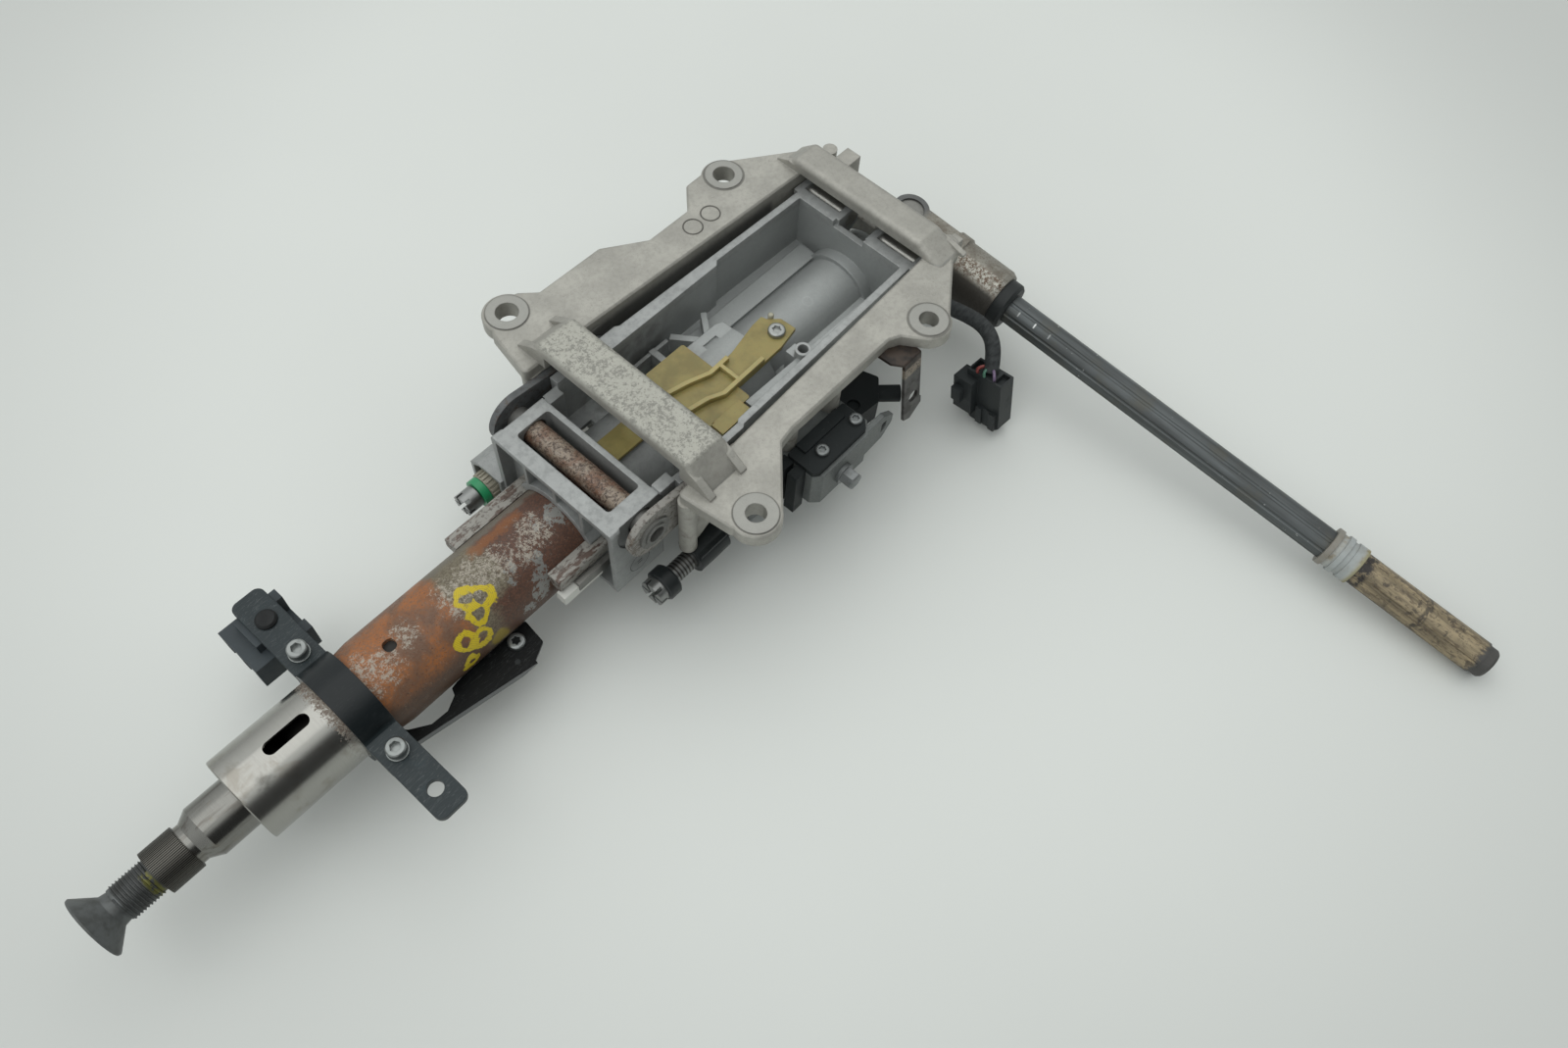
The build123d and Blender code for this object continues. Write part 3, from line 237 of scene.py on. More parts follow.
class Finish(Nodes):
    """Node material of one surface. Its patterns read Object coordinates, in metres."""

    def __init__(self, name, roughness=0.5, metallic=0.0, edge=None, **sockets):
        """An edge is the radius to which sharp edges are softened, so that they catch light."""
        self.material = bpy.data.materials.new(name)
        self.material.use_nodes = True
        super().__init__(self.material.node_tree)
        self.shader = self.tree.nodes["Principled BSDF"]
        self.shader.inputs["Roughness"].default_value = roughness
        self.shader.inputs["Metallic"].default_value = metallic
        for key, value in sockets.items():
            self.shader.inputs[key.replace("_", " ")].default_value = value
        self.point = self.add("ShaderNodeTexCoord").outputs["Object"]
        self.x, self.y, self.z = self.add("ShaderNodeSeparateXYZ", {0: self.point}).outputs
        self.normal = edge and self.add("ShaderNodeBevel", {"Radius": edge}, samples=4).outputs[0]
        self.colour = None

    def stretched(self, scale, point=None):
        """Coordinates with each axis scaled, for streaks and turned lines."""
        return self.add("ShaderNodeMapping", {0: point or self.point, 3: scale}).outputs[0]

    def noise(self, size, detail=4.0, rough=0.55, point=None, warp=0.0):
        """Smooth noise whose features are about that many metres across."""
        inputs = {"Vector": point or self.point, "Scale": 1 / size, "Detail": detail, "Roughness": rough,
                  "Distortion": warp}
        return self.add("ShaderNodeTexNoise", inputs).outputs[0]

    def distance(self, place, flat=False):
        """Distance from a place, seen from above if flat."""
        gap = self.vector("SUBTRACT", self.point, place)
        if flat:
            gap = self.vector("MULTIPLY", gap, (1.0, 1.0, 0.0))
        return self.add("ShaderNodeVectorMath", {0: gap}, operation="LENGTH").outputs["Value"]

    def patches(self, places, wobble, soft):
        """One near any of some places with a reach, with wobbling outlines."""
        return self.either(*[self.ease(self.plus(self.distance(place), wobble), reach + soft, reach - soft)
                             for place, reach in places])

    def blend(self, share, under, over):
        """Colour that goes from one to the other with the share."""
        return self.add("ShaderNodeMix", {0: share, 6: under, 7: over}, data_type="RGBA").outputs[2]

    def coat(self, over, *shares):
        """Lay a colour over the finish's own, by the product of some shares."""
        self.colour = self.blend(self.times(*shares), self.colour, over)

    def bump(self, height, depth, strength):
        inputs = {"Height": height, "Distance": depth, "Strength": strength}
        if self.normal:
            inputs["Normal"] = self.normal
        self.normal = self.add("ShaderNodeBump", inputs).outputs[0]

    def done(self, roughness=None, metallic=None):
        """Link what has been built to the shader, and give the material."""
        links = {"Base Color": self.colour, "Roughness": roughness, "Metallic": metallic,
                 "Normal": self.normal}
        for key, value in links.items():
            if value is not None:
                self.feed(self.shader.inputs[key], value)
        return self.material


def shade(colour, factor):
    """The same colour, darker or lighter."""
    return tuple(min(1.0, channel * factor) for channel in colour)


def paint_nodes(material, *names):
    """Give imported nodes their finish."""
    for name in names:
        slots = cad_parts[name].data.materials
        slots.clear()
        slots.append(material)


def colours():
    return bpy.context.scene.column_colours


def sizes():
    return bpy.context.scene.column_sizes


# Finishes

def casting(name, tone, grain=0.0007, dullest=0.58):
    """Matt cast metal with a fine skin, clouded tone, dark flecks and softened edges, and its roughness."""
    f = Finish(name, metallic=0.45, edge=0.0008)
    cloud = f.noise(0.024, 4, 0.6)
    skin = f.noise(grain, 2, 0.6)
    f.bump(f.plus(skin, f.times(f.noise(0.006, 2), 1.5)), 0.00014, 0.5)
    f.colour = f.blend(f.ease(cloud, 0.35, 0.68), shade(tone, 0.87), shade(tone, 1.1))
    f.coat(shade(tone, 0.62), f.ease(f.noise(0.0022, 3, 0.65), 0.42, 0.66), 0.28)
    fleck = f.ease(f.noise(0.0015, 2), 0.66, 0.73)
    f.coat(shade(tone, 0.5), fleck, 0.35)
    return f, f.ease(skin, 0.2, 0.8, 0.42, dullest)


def bracket_finish():
    """Warm cast aluminium, pitted on top of the front bridge and machined at the bosses, with painted shade
    on its inner walls and at the steps round the bolt holes.
    """
    tone = colours().bracket
    f, rough = casting("cast bracket aluminium", tone)
    top = f.times(f.span(f.x, -0.01, 0.0143, 0.001), f.ease(f.z, 0.0105, 0.013),
                  f.span(f.y, -0.05, 0.05, 0.006))
    f.coat((0.405, 0.402, 0.355), top, 0.8)
    crowd = f.ease(f.noise(0.008, 4, 0.6), 0.36, 0.62, 0.0, 0.09)
    pits = f.ease(f.plus(f.noise(0.0019, 6, 0.85), crowd), 0.53, 0.62)
    f.coat((0.175, 0.172, 0.155), top, pits, 0.75)
    f.bump(f.times(top, pits), 0.0002, -0.6)
    # Painted shade: the inner walls beside the housing are painted near black, where shade falls in the gap.
    inner = f.times(f.ease(f.z, -0.003, -0.01), f.span(f.y, 0.038, 0.056, 0.001),
                    f.span(f.x, 0.016, 0.15, 0.002))
    f.coat((0.05, 0.052, 0.051), inner, 0.75)
    face = f.times(f.ease(f.z, -0.0003, -0.0001), f.ease(f.z, 0.0002, 0.0004, 1.0, 0.0))
    f.coat((0.31, 0.31, 0.29), face, 0.7)
    # Painted shade: a dark ring is painted on the step round each bolt hole, where shade falls.
    level = f.times(f.ease(f.z, -0.0012, -0.0008), f.ease(f.z, -0.0004, -0.0002, 1.0, 0.0))
    for x, y in BOLT_HOLES:
        step = f.times(level, f.span(f.distance((x, y, 0), flat=True), 0.01, 0.0112, 0.0003))
        f.coat(shade(tone, 0.28), step, 0.7)
    grime = f.times(f.ease(f.noise(0.009, 4, 0.65), 0.52, 0.7), f.ease(f.z, -0.009, -0.018))
    f.coat((0.11, 0.09, 0.07), grime, 0.55)
    return f.done(rough)


def housing_finish():
    """Cooler cast aluminium with a milled rim, a label and a round inspection mark on its right flank, and
    painted shade with grime at the front of its tray.
    """
    tone = colours().housing
    f, rough = casting("cast housing aluminium", tone, grain=0.0009)
    rim = f.ease(f.z, -0.0112, -0.0106)
    f.coat((0.41, 0.42, 0.415), rim, 0.5, f.ease(f.noise(0.004, 4, 0.65), 0.35, 0.6))
    scratch = f.ease(f.noise(0.0012, 2, 0.5, f.stretched((1, 12, 1))), 0.58, 0.7)
    f.coat(shade(tone, 0.75), rim, scratch, 0.4)
    inner = f.times(f.ease(f.x, 0.0, 0.006), f.ease(f.z, -0.0125, -0.0145))
    f.coat((0.335, 0.35, 0.345), inner, 0.6)
    # Painted shade with grime: the front of the tray under the front bridge is darkened in blotches, partly
    # grime and partly painted shade.
    front = f.times(inner, f.ease(f.x, 0.07, 0.045), f.ease(f.noise(0.008, 4, 0.6), 0.35, 0.6))
    f.coat((0.12, 0.115, 0.105), front, 0.5)
    ejector = f.times(inner, f.span(f.distance(EJECTOR_MARK, flat=True), 0.0024, 0.0031, 0.0003))
    f.coat(shade(tone, 1.25), ejector, 0.4)
    flank = f.ease(f.y, -0.0392, -0.0396)
    f.coat((0.42, 0.47, 0.47), flank, f.span(f.x, *LABEL_X, PRINT_EDGE), f.span(f.z, *LABEL_Z, PRINT_EDGE))
    ring_x, ring_z = f.minus(f.x, STAMP_CENTRE[0]), f.minus(f.z, STAMP_CENTRE[1])
    ring = f.span(f.radius(ring_x, ring_z), 0.006, 0.0065, PRINT_EDGE)
    bars = f.times(f.span(ring_x, -0.0016, 0.0016, PRINT_EDGE),
                   f.span(f.calc("ABSOLUTE", ring_z), 0.0006, 0.0014, PRINT_EDGE))
    f.coat((0.035, 0.037, 0.037), flank, f.either(ring, bars), 0.8)
    return f.done(rough)


def gear_case_finish():
    """Darker cast metal of the two gear cases."""
    f, rough = casting("cast gear case metal", colours().gear_case, dullest=0.6)
    return f.done(rough)


def turned_steel(name, tone, tarnish, ringed):
    """Bright turned steel with fine rings across the column axis and patchy tarnish."""
    f = Finish(name, 0.24, 1.0)
    rings = f.noise(0.004, 3, 0.7, f.stretched((30, 0.4, 0.4)))
    f.bump(rings, 0.00003, ringed)
    stain = f.ease(f.noise(0.011, 5, 0.6, warp=0.4), 0.52, 0.68)
    f.colour = f.blend(f.times(stain, tarnish), tone, (0.23, 0.2, 0.16))
    f.coat(shade(tone, 0.5), f.ease(rings, 0.35, 0.75, 0.0, 0.2))
    return f, rings


def front_sleeve_finish():
    """Turned sleeve with a brown stain, rust where the clamp sits, and painted shade inside the tube."""
    f, rings = turned_steel("turned sleeve steel", colours().steel, tarnish=0.45, ringed=0.08)
    edge = f.span(f.x, -0.192, -0.18, 0.001)
    crumbs = f.plus(f.noise(0.0013, 4, 0.7), f.ease(f.x, -0.1915, -0.184, -0.22, 0.1))
    rust = f.times(f.ease(crumbs, 0.47, 0.54), f.ease(f.y, -0.021, -0.014, 0.15, 1.0), edge)
    crust = f.blend(f.ease(f.noise(0.001, 4, 0.8), 0.45, 0.56), (0.1, 0.062, 0.042), (0.27, 0.24, 0.2))
    f.coat(crust, rust, 0.9)
    worn = f.plus(f.distance(SLEEVE_STAIN), f.times(f.noise(0.004, 4), 0.006))
    stain = f.ease(worn, 0.01, 0.0075)
    f.coat((0.1, 0.095, 0.085), stain, 0.55)
    # Painted shade: the sleeve is painted near black where it runs inside the tube.
    inside = f.ease(f.x, -0.162, -0.159)
    f.coat((0.02, 0.018, 0.016), inside)
    # Both the rust and the painted shade inside the tube make the surface dull and not metallic.
    dull = f.either(f.times(rust, 0.8), inside)
    rough = f.either(f.ease(rings, 0.3, 0.8, 0.17, 0.26), f.times(dull, 0.7), f.times(stain, 0.28))
    return f.done(rough, f.minus(1.0, dull))


def shaft_finish():
    """Turned shaft with painted shade in the grooves of its serrations, and painted shade inside the tube,
    where it is also dull.
    """
    f, rings = turned_steel("turned shaft steel", shade(colours().steel, 0.62), tarnish=0.6, ringed=0.15)
    drawn = f.noise(0.003, 4, 0.65, f.stretched((0.1, 1, 1)))
    f.coat((0.12, 0.108, 0.095), f.ease(drawn, 0.5, 0.66, 0.0, 0.6))
    teeth = f.span(f.x, -0.2745, -0.2585, 0.0005)
    turn = f.calc("ARCTAN2", f.minus(f.z, COLUMN_AXIS[1]), f.y)
    ridge = f.calc("COSINE", f.times(turn, SERRATIONS))
    f.bump(f.times(ridge, teeth), 0.0002, -0.9)
    # Painted shade: the grooves between the ridges are painted dark and the ridges lighter.
    grooves = f.blend(f.ease(ridge, -0.4, 0.5), (0.13, 0.126, 0.113), (0.022, 0.02, 0.018))
    f.coat(grooves, teeth)
    # Painted shade: the shaft is painted dark where it runs inside the tube.
    inside = f.ease(f.x, -0.21, -0.195)
    f.coat((0.06, 0.055, 0.05), inside, 0.9)
    rough = f.either(f.ease(rings, 0.3, 0.8, 0.15, 0.25), f.times(inside, 0.6))
    return f.done(f.either(rough, f.times(teeth, 0.45)))


def plain_steel(name, tone, roughness=0.4):
    """Worked steel with slight dirt, for small pieces."""
    f = Finish(name, roughness, 0.9, edge=0.0004)
    grime = f.ease(f.noise(0.006, 4, 0.6), 0.5, 0.7)
    f.bump(f.noise(0.0008, 2), 0.00005, 0.4)
    f.colour = f.blend(f.times(grime, 0.5), tone, shade(tone, 0.45))
    return f.done()


def bolt_finish():
    """Phosphated bolt with painted shade in the valleys of its thread and a yellow smear on its collar."""
    f = Finish("phosphated bolt steel", 0.48, 0.55, edge=0.0005)
    f.colour = f.blend(f.ease(f.noise(0.006, 4), 0.4, 0.7), (0.115, 0.122, 0.122), (0.07, 0.073, 0.07))
    # Painted shade: the valleys between the turns of the thread are painted dark.
    radius = f.radius(f.minus(f.z, COLUMN_AXIS[1]), f.minus(f.y, COLUMN_AXIS[0]))
    valley = f.times(f.ease(radius, 0.0081, 0.0085, 0.75, 0.0), f.ease(f.x, -0.29, -0.289))
    f.coat((0.046, 0.047, 0.046), valley)
    smear = f.times(f.span(f.x, -0.279, -0.275, 0.0006), f.ease(f.y, 0.002, -0.002),
                    f.ease(f.noise(0.0025, 3), 0.4, 0.52))
    f.coat((0.16, 0.155, 0.03), smear, 0.8)
    return f.done()


def spindle_finish():
    """Rolled spindle steel, with greasy thread lines behind its slotted end."""
    f = Finish("spindle steel", 0.36, 0.9, edge=0.0004)
    lines = f.calc("SINE", f.times(f.x, 2 * math.pi / sizes().spindle_pitch))
    behind = f.ease(f.x, -0.029, -0.027)
    grime = f.ease(f.noise(0.006, 4, 0.6), 0.45, 0.7, 0.0, 0.5)
    f.colour = f.blend(grime, (0.27, 0.275, 0.27), (0.12, 0.12, 0.115))
    f.coat((0.035, 0.031, 0.026), behind, f.ease(lines, -0.2, 0.5, 0.15, 0.9))
    f.bump(f.times(lines, behind), 0.0003, -0.8)
    return f.done()


def tube_finish():
    """Column tube: orange rust in front, olive crust and zinc behind, brown below, and paint loops."""
    c = colours()
    f = Finish("rusted column tube", Specular_IOR_Level=0.35)
    fine = f.noise(0.0011, 4, 0.65)
    broad = f.noise(0.016, 5, 0.6, warp=0.4)
    ragged = f.times(f.minus(f.noise(0.0055, 5, 0.66), 0.5), 0.018)
    along = f.plus(f.x, f.times(ragged, 0.8))
    across = f.plus(f.y, f.times(ragged, 0.6))
    orange = f.blend(f.ease(broad, 0.38, 0.62), shade(c.rust, 1.15), (0.135, 0.07, 0.042))
    orange = f.blend(f.times(f.ease(fine, 0.42, 0.62), 0.7), orange, shade(c.brown, 1.5))
    brown = f.blend(f.ease(fine, 0.4, 0.6), (0.115, 0.055, 0.036), (0.07, 0.04, 0.03))
    olive = f.blend(f.ease(fine, 0.42, 0.6), (0.17, 0.15, 0.105), (0.105, 0.085, 0.058))
    behind = f.ease(along, -0.118, -0.112)
    f.colour = f.blend(behind, orange, f.blend(f.ease(along, -0.093, -0.085), olive, brown))
    f.coat(brown, behind, f.ease(across, -0.0125, -0.0165), f.ease(along, -0.108, -0.098))
    streak = f.times(f.span(across, 0.006, 0.012, 0.0018), f.span(along, -0.094, -0.064, 0.003))
    f.coat(shade(c.rust, 0.85), streak, 0.7)
    beside = f.times(behind, f.ease(across, 0.012, 0.015))
    f.coat((0.125, 0.112, 0.088), beside, 0.8)
    under = f.ease(f.plus(f.z, f.times(ragged, 0.5)), -0.0335, -0.043)
    low = f.blend(f.ease(fine, 0.4, 0.6), shade(c.brown, 0.95), shade(c.brown, 0.7))
    f.coat(low, under, f.minus(1.0, f.times(behind, 0.6)))
    zinc = f.patches(ZINC_ISLANDS, ragged, 0.0004)
    zinc = f.times(zinc, f.ease(f.noise(0.0022, 4, 0.65), 0.4, 0.46))
    f.coat((0.235, 0.238, 0.225), zinc, 0.9)
    crowd = f.patches(PALE_CROWDS, ragged, 0.0045)
    mottle = f.plus(f.times(f.noise(0.0024, 6, 0.85), 0.65), f.times(f.noise(0.0009, 4, 0.8), 0.35))
    pale = f.ease(f.plus(mottle, f.times(crowd, 0.085)), 0.555, 0.625)
    f.coat((0.37, 0.335, 0.28), pale, f.ease(crowd, 0.0, 0.6, 0.25, 0.85))
    pit = f.ease(f.noise(0.001, 2), 0.62, 0.7)
    f.coat((0.045, 0.028, 0.02), pit, 0.6)
    wobble = f.times(f.minus(f.noise(0.005, 2, 0.5), 0.5), 0.006)
    brush = f.ease(f.noise(0.0012, 3, 0.6), 0.3, 0.46, 0.45, 1.0)
    outer = f.patches([(place, reach + 0.0013) for place, reach in YELLOW_LOOPS], wobble, 0.0003)
    inner = f.patches([(place, reach - 0.0017) for place, reach in YELLOW_LOOPS], wobble, 0.0003)
    mark = f.times(outer, f.minus(1.0, inner), brush)
    smear = f.times(f.patches([YELLOW_SMEAR], wobble, 0.0012), 0.35)
    lines = f.ease(f.calc("FRACT", f.times(f.distance(YELLOW_LOOPS[1][0]), BRUSH_LINES)), 0.62, 0.92)
    paint = f.blend(f.times(lines, 0.55), c.mark, (0.26, 0.21, 0.02))
    f.coat(paint, f.either(mark, smear))
    f.bump(f.plus(f.times(fine, 0.6), f.times(ragged, 30.0)), 0.0003, 0.45)
    rough = f.ease(fine, 0.4, 0.6, 0.56, 0.42)
    return f.done(f.minus(rough, f.times(zinc, 0.1)), f.times(zinc, 0.3))


def rusty_finish(name, rust, bare, share, grain, pits, pull=1.0):
    """Rusty steel with bare metal and pits; more share leaves less bare, less pull draws it out along X."""
    f = Finish(name, 0.55, edge=0.0005)
    drawn = f.stretched((pull, 1, 1))
    broad = f.noise(0.009, 4, 0.6, drawn)
    fine = f.noise(grain, 5, 0.7, drawn)
    ground = f.blend(f.ease(broad, 0.4, 0.62), rust, shade(rust, 0.6))
    worn = f.ease(f.plus(f.times(broad, 0.5), f.times(fine, 0.9)), share, share + 0.1)
    f.colour = f.blend(worn, ground, bare)
    f.coat((0.045, 0.028, 0.022), f.ease(f.noise(grain * 0.8, 2), 0.55, 0.63), pits)
    f.bump(fine, 0.0002, 0.6)
    return f.done(f.ease(broad, 0.4, 0.6, 0.44, 0.6), f.ease(broad, 0.45, 0.65, 0.1, 0.4))


def pin_finish():
    """Hollow pin: pinkish brown with dark pits and redder places, plain steel outside the housing."""
    f = Finish("rusty cross pin steel", 0.5)
    broad = f.noise(0.01, 4, 0.6, warp=0.3)
    fine = f.noise(0.0019, 6, 0.85)
    f.colour = f.blend(f.ease(broad, 0.4, 0.62), (0.265, 0.212, 0.162), (0.17, 0.09, 0.055))
    f.coat((0.36, 0.32, 0.28), f.ease(f.noise(0.0011, 4, 0.8), 0.52, 0.62, 0.0, 0.6))
    f.coat((0.055, 0.036, 0.027), f.ease(fine, 0.495, 0.545, 0.0, 0.9))
    ends = f.ease(f.calc("ABSOLUTE", f.y), 0.0345, 0.036)
    f.coat((0.18, 0.178, 0.168), ends)
    f.bump(fine, 0.0002, -0.6)
    return f.done(f.ease(fine, 0.4, 0.6, 0.42, 0.62), f.times(ends, 0.6))


def tab_finish():
    """Dark brown strip with a band of pale rust along its bend and a bright worn edge."""
    f = Finish("brown tab steel", 0.42)
    broad = f.noise(0.008, 4, 0.6)
    fine = f.noise(0.001, 3, 0.6)
    f.colour = f.blend(f.ease(broad, 0.4, 0.62), (0.045, 0.031, 0.023), (0.02, 0.016, 0.014))
    blade = f.ease(f.z, -0.0155, -0.0185)
    plate = f.blend(f.ease(broad, 0.42, 0.6), (0.08, 0.08, 0.077), (0.045, 0.041, 0.038))
    f.coat(plate, blade, 0.85)
    bend = f.times(f.span(f.z, -0.0185, -0.0125, 0.0008), f.ease(f.y, -0.0725, -0.0745))
    bloom = f.times(bend, f.ease(fine, 0.4, 0.5))
    f.coat((0.3, 0.255, 0.2), bloom, 0.85)
    f.bump(fine, 0.0001, 0.4)
    return f.done(f.ease(broad, 0.4, 0.6, 0.36, 0.5), 0.3)


def black_paint_finish(name, tone, roughness=0.42, wear=1.0, **sockets):
    """Black paint with rubbed and scratched places."""
    f = Finish(name, roughness, edge=0.0006, **sockets)
    rub = f.ease(f.noise(0.01, 5, 0.62), 0.52, 0.72)
    line = f.span(f.noise(0.01, 2, 0.5, f.stretched((1, 9, 4)), 0.6), 0.4925, 0.5075, 0.0075)
    f.colour = f.blend(f.times(rub, 0.6), tone, shade(tone, 1.7))
    f.coat((0.2, 0.21, 0.21), line, 0.3 * wear)
    f.bump(f.noise(0.0009, 3), 0.00006, 0.5)
    return f, f.ease(rub, 0.0, 1.0, roughness, roughness + 0.18)


def clamp_finish():
    """Black paint of the clamp, deeper and glossier on its upper half."""
    f, rough = black_paint_finish("clamp paint", colours().paint, Specular_IOR_Level=0.3)
    strap = f.ease(f.z, -0.0395, -0.0375)
    f.coat((0.006, 0.008, 0.009), strap, 0.85)
    return f.done(f.minus(rough, f.times(strap, 0.14)))


def arm_finish():
    """Deep black paint, greyer on the edge that is bent down."""
    tone = (0.0045, 0.005, 0.005)
    f, rough = black_paint_finish("pressed arm paint", tone, wear=0.4, Specular_IOR_Level=0.12)
    f.coat((0.16, 0.165, 0.165), f.ease(f.z, -0.0608, -0.0616))
    dimple = f.times(f.ease(f.distance(ARM_DIMPLE, flat=True), 0.0011, 0.0016, 1.0, 0.0),
                     f.ease(f.z, -0.061, -0.0604))
    f.coat((0.05, 0.055, 0.055), dimple, 0.5)
    f.bump(dimple, 0.0006, -0.8)
    return f.done(rough)


def plastic_finish(name, tone, roughness=0.5, dust=0.3, black_above=None, **sockets):
    """Moulded plastic with a fine grain and some dust, and black above a height if one is given."""
    f = Finish(name, roughness, edge=0.0004, **sockets)
    cloud = f.ease(f.noise(0.012, 4, 0.6), 0.45, 0.7)
    f.bump(f.noise(0.0006, 2), 0.00005, 0.5)
    speck = f.ease(f.noise(0.001, 2), 0.7, 0.76)
    f.colour = f.blend(f.times(cloud, dust), tone, shade(tone, 1.9))
    f.coat((0.16, 0.16, 0.15), speck, 0.3)
    if black_above is not None:
        f.coat((0.008, 0.009, 0.0095), f.ease(f.z, black_above - 0.0002, black_above))
    return f.done(f.ease(cloud, 0.0, 1.0, roughness - 0.06, roughness + 0.1))


def guide_finish():
    """Yellowed translucent plastic with dirty edges."""
    tone = colours().guide
    f = Finish("yellowed guide plastic", 0.42, Subsurface_Weight=0.15, Subsurface_Scale=0.004, edge=0.0004)
    cloud = f.noise(0.015, 4, 0.6)
    f.colour = f.blend(f.ease(cloud, 0.38, 0.66), tone, shade(tone, 0.72))
    raised = f.times(f.ease(f.z, -0.0172, -0.015), f.ease(f.y, -0.0265, -0.0245))
    f.coat((0.62, 0.53, 0.24), raised, 0.35)
    f.coat((0.14, 0.11, 0.06), f.ease(f.noise(0.0012, 3), 0.68, 0.76), 0.5)
    f.bump(f.noise(0.0012, 2), 0.00006, 0.4)
    return f.done()


def along_shaft(f):
    """Place in the frame of the folded intermediate shaft, with the way along it and the way across."""
    turn = Matrix.Rotation(JOINT_ROLL, 3, "X") @ Matrix.Rotation(-JOINT_BEND, 3, "Z")
    gap = f.vector("SUBTRACT", f.point, JOINT_CENTRE)
    along, across, up = [f.dot(gap, axis) for axis in turn.transposed()]
    return f.add("ShaderNodeCombineXYZ", {0: along, 1: across, 2: up}).outputs[0], along, across


def yoke_finish():
    """Fork and long sleeve: dull plating, with pale flakes and brown rust along their forward side, and a
    near black lower side that is partly dark steel and partly painted shade.
    """
    f = Finish("flaking yoke steel", 0.46, edge=0.0006)
    reach, across = along_shaft(f)[1:]
    flake = f.noise(0.004, 6, 0.72, warp=0.5)
    fine = f.noise(0.0014, 4, 0.7)
    cloud = f.noise(0.012, 4, 0.6)
    f.colour = f.blend(f.ease(cloud, 0.38, 0.64), (0.26, 0.248, 0.215), (0.155, 0.138, 0.112))
    f.coat((0.12, 0.095, 0.065), f.ease(fine, 0.5, 0.62), 0.5)
    # The lower side of the sleeve is painted near black: partly its own dark steel, partly painted shade.
    low = f.ease(f.plus(across, f.times(fine, 0.003)), -0.0085, -0.011)
    f.coat((0.04, 0.036, 0.032), low, f.ease(reach, 0.024, 0.032), 0.85)
    band = f.times(f.span(across, -0.0105, -0.0015, 0.002), f.ease(reach, 0.028, 0.038))
    white = f.times(band, f.ease(f.plus(flake, f.times(fine, 0.3)), 0.58, 0.64))
    f.coat((0.48, 0.47, 0.42), white, 0.9)
    rust = f.times(band, f.ease(f.noise(0.002, 6, 0.8), 0.48, 0.54))
    f.coat((0.095, 0.052, 0.028), rust, 0.9)
    f.coat((0.12, 0.123, 0.122), f.ease(reach, 0.012, 0.005))
    f.bump(f.plus(f.times(flake, band), f.times(fine, 0.5)), 0.0002, 0.5)
    return f.done(f.ease(fine, 0.4, 0.6, 0.42, 0.55), f.ease(cloud, 0.45, 0.6, 0.5, 0.3))


def fluted_finish():
    """Dark drawn tube with long streaks and a few bright nicks."""
    f = Finish("dark fluted tube steel", 0.4, 0.55)
    place, reach, across = along_shaft(f)
    streak = f.noise(0.004, 4, 0.6, f.stretched((0.06, 1, 1), place))
    cloud = f.noise(0.016, 4, 0.6)
    f.colour = f.blend(f.ease(streak, 0.35, 0.68), (0.098, 0.108, 0.11), (0.062, 0.067, 0.067))
    f.coat((0.1, 0.095, 0.075), f.ease(cloud, 0.5, 0.7), 0.5)
    nick = f.times(f.ease(f.noise(0.0016, 3, 0.6, f.stretched((1, 0.5, 0.5), place)), 0.7, 0.73),
                   f.ease(f.noise(0.02, 2), 0.5, 0.6))
    f.coat((0.55, 0.56, 0.55), nick)
    bars = f.either(*[f.times(f.span(reach, far - 0.0004, far + 0.0004, 0.0001), share)
                      for far, share in TUBE_NICKS])
    f.coat((0.6, 0.61, 0.6), bars, f.span(across, -0.0062, -0.0036, 0.0003))
    f.bump(streak, 0.0001, 0.4)
    return f.done(f.ease(cloud, 0.3, 0.7, 0.34, 0.5))


def coating_finish():
    """Greased plastic coat: long light and dark smears that follow the grooves."""
    tone = colours().coating
    f = Finish("greased sliding coat", 0.45)
    place, reach = along_shaft(f)[:2]
    smear = f.noise(0.006, 5, 0.65, f.stretched((0.12, 1, 1), place))
    fine = f.noise(0.002, 5, 0.7, f.stretched((0.3, 1, 1), place))
    blot = f.noise(0.0045, 6, 0.75, warp=0.5)
    f.colour = f.blend(f.ease(smear, 0.36, 0.64), shade(tone, 1.1), shade(tone, 0.38))
    f.coat((0.075, 0.052, 0.03), f.ease(fine, 0.5, 0.62), 0.75)
    f.coat((0.055, 0.042, 0.028), f.ease(blot, 0.53, 0.6), f.ease(f.z, -0.05, -0.058, 0.5, 0.85))
    rings = f.either(f.span(reach, 0.3045, 0.312, 0.0012),
                     f.times(f.span(reach, 0.3435, 0.347, 0.0008), 0.7))
    f.coat((0.018, 0.014, 0.012), rings, f.ease(blot, 0.42, 0.5))
    bare = f.ease(f.plus(reach, f.times(f.minus(fine, 0.5), 0.008)), 0.3765, 0.3795)
    f.coat((0.05, 0.048, 0.045), bare)
    f.bump(fine, 0.0002, 0.5)
    return f.done(f.ease(fine, 0.4, 0.65, 0.58, 0.3))


def ribbed_finish():
    """Dirty white plastic with brown grime between the rings."""
    tone = colours().sleeve
    f = Finish("dirty white sleeve plastic", 0.45, edge=0.0004)
    reach = along_shaft(f)[1]
    dirt = f.noise(0.005, 5, 0.65)
    clean = f.span(reach, 0.2935, 0.3035, 0.001)
    f.colour = f.blend(f.ease(dirt, 0.42, 0.68), tone, (0.22, 0.19, 0.135))
    f.coat((0.31, 0.34, 0.345), clean, 0.7)
    front = f.ease(reach, 0.2925, 0.2895)
    f.coat((0.17, 0.15, 0.12), front, 0.75)
    back = f.ease(reach, 0.3035, 0.3055)
    f.coat((0.22, 0.19, 0.06), back, 0.7)
    f.bump(dirt, 0.0002, 0.5)
    return f.done()


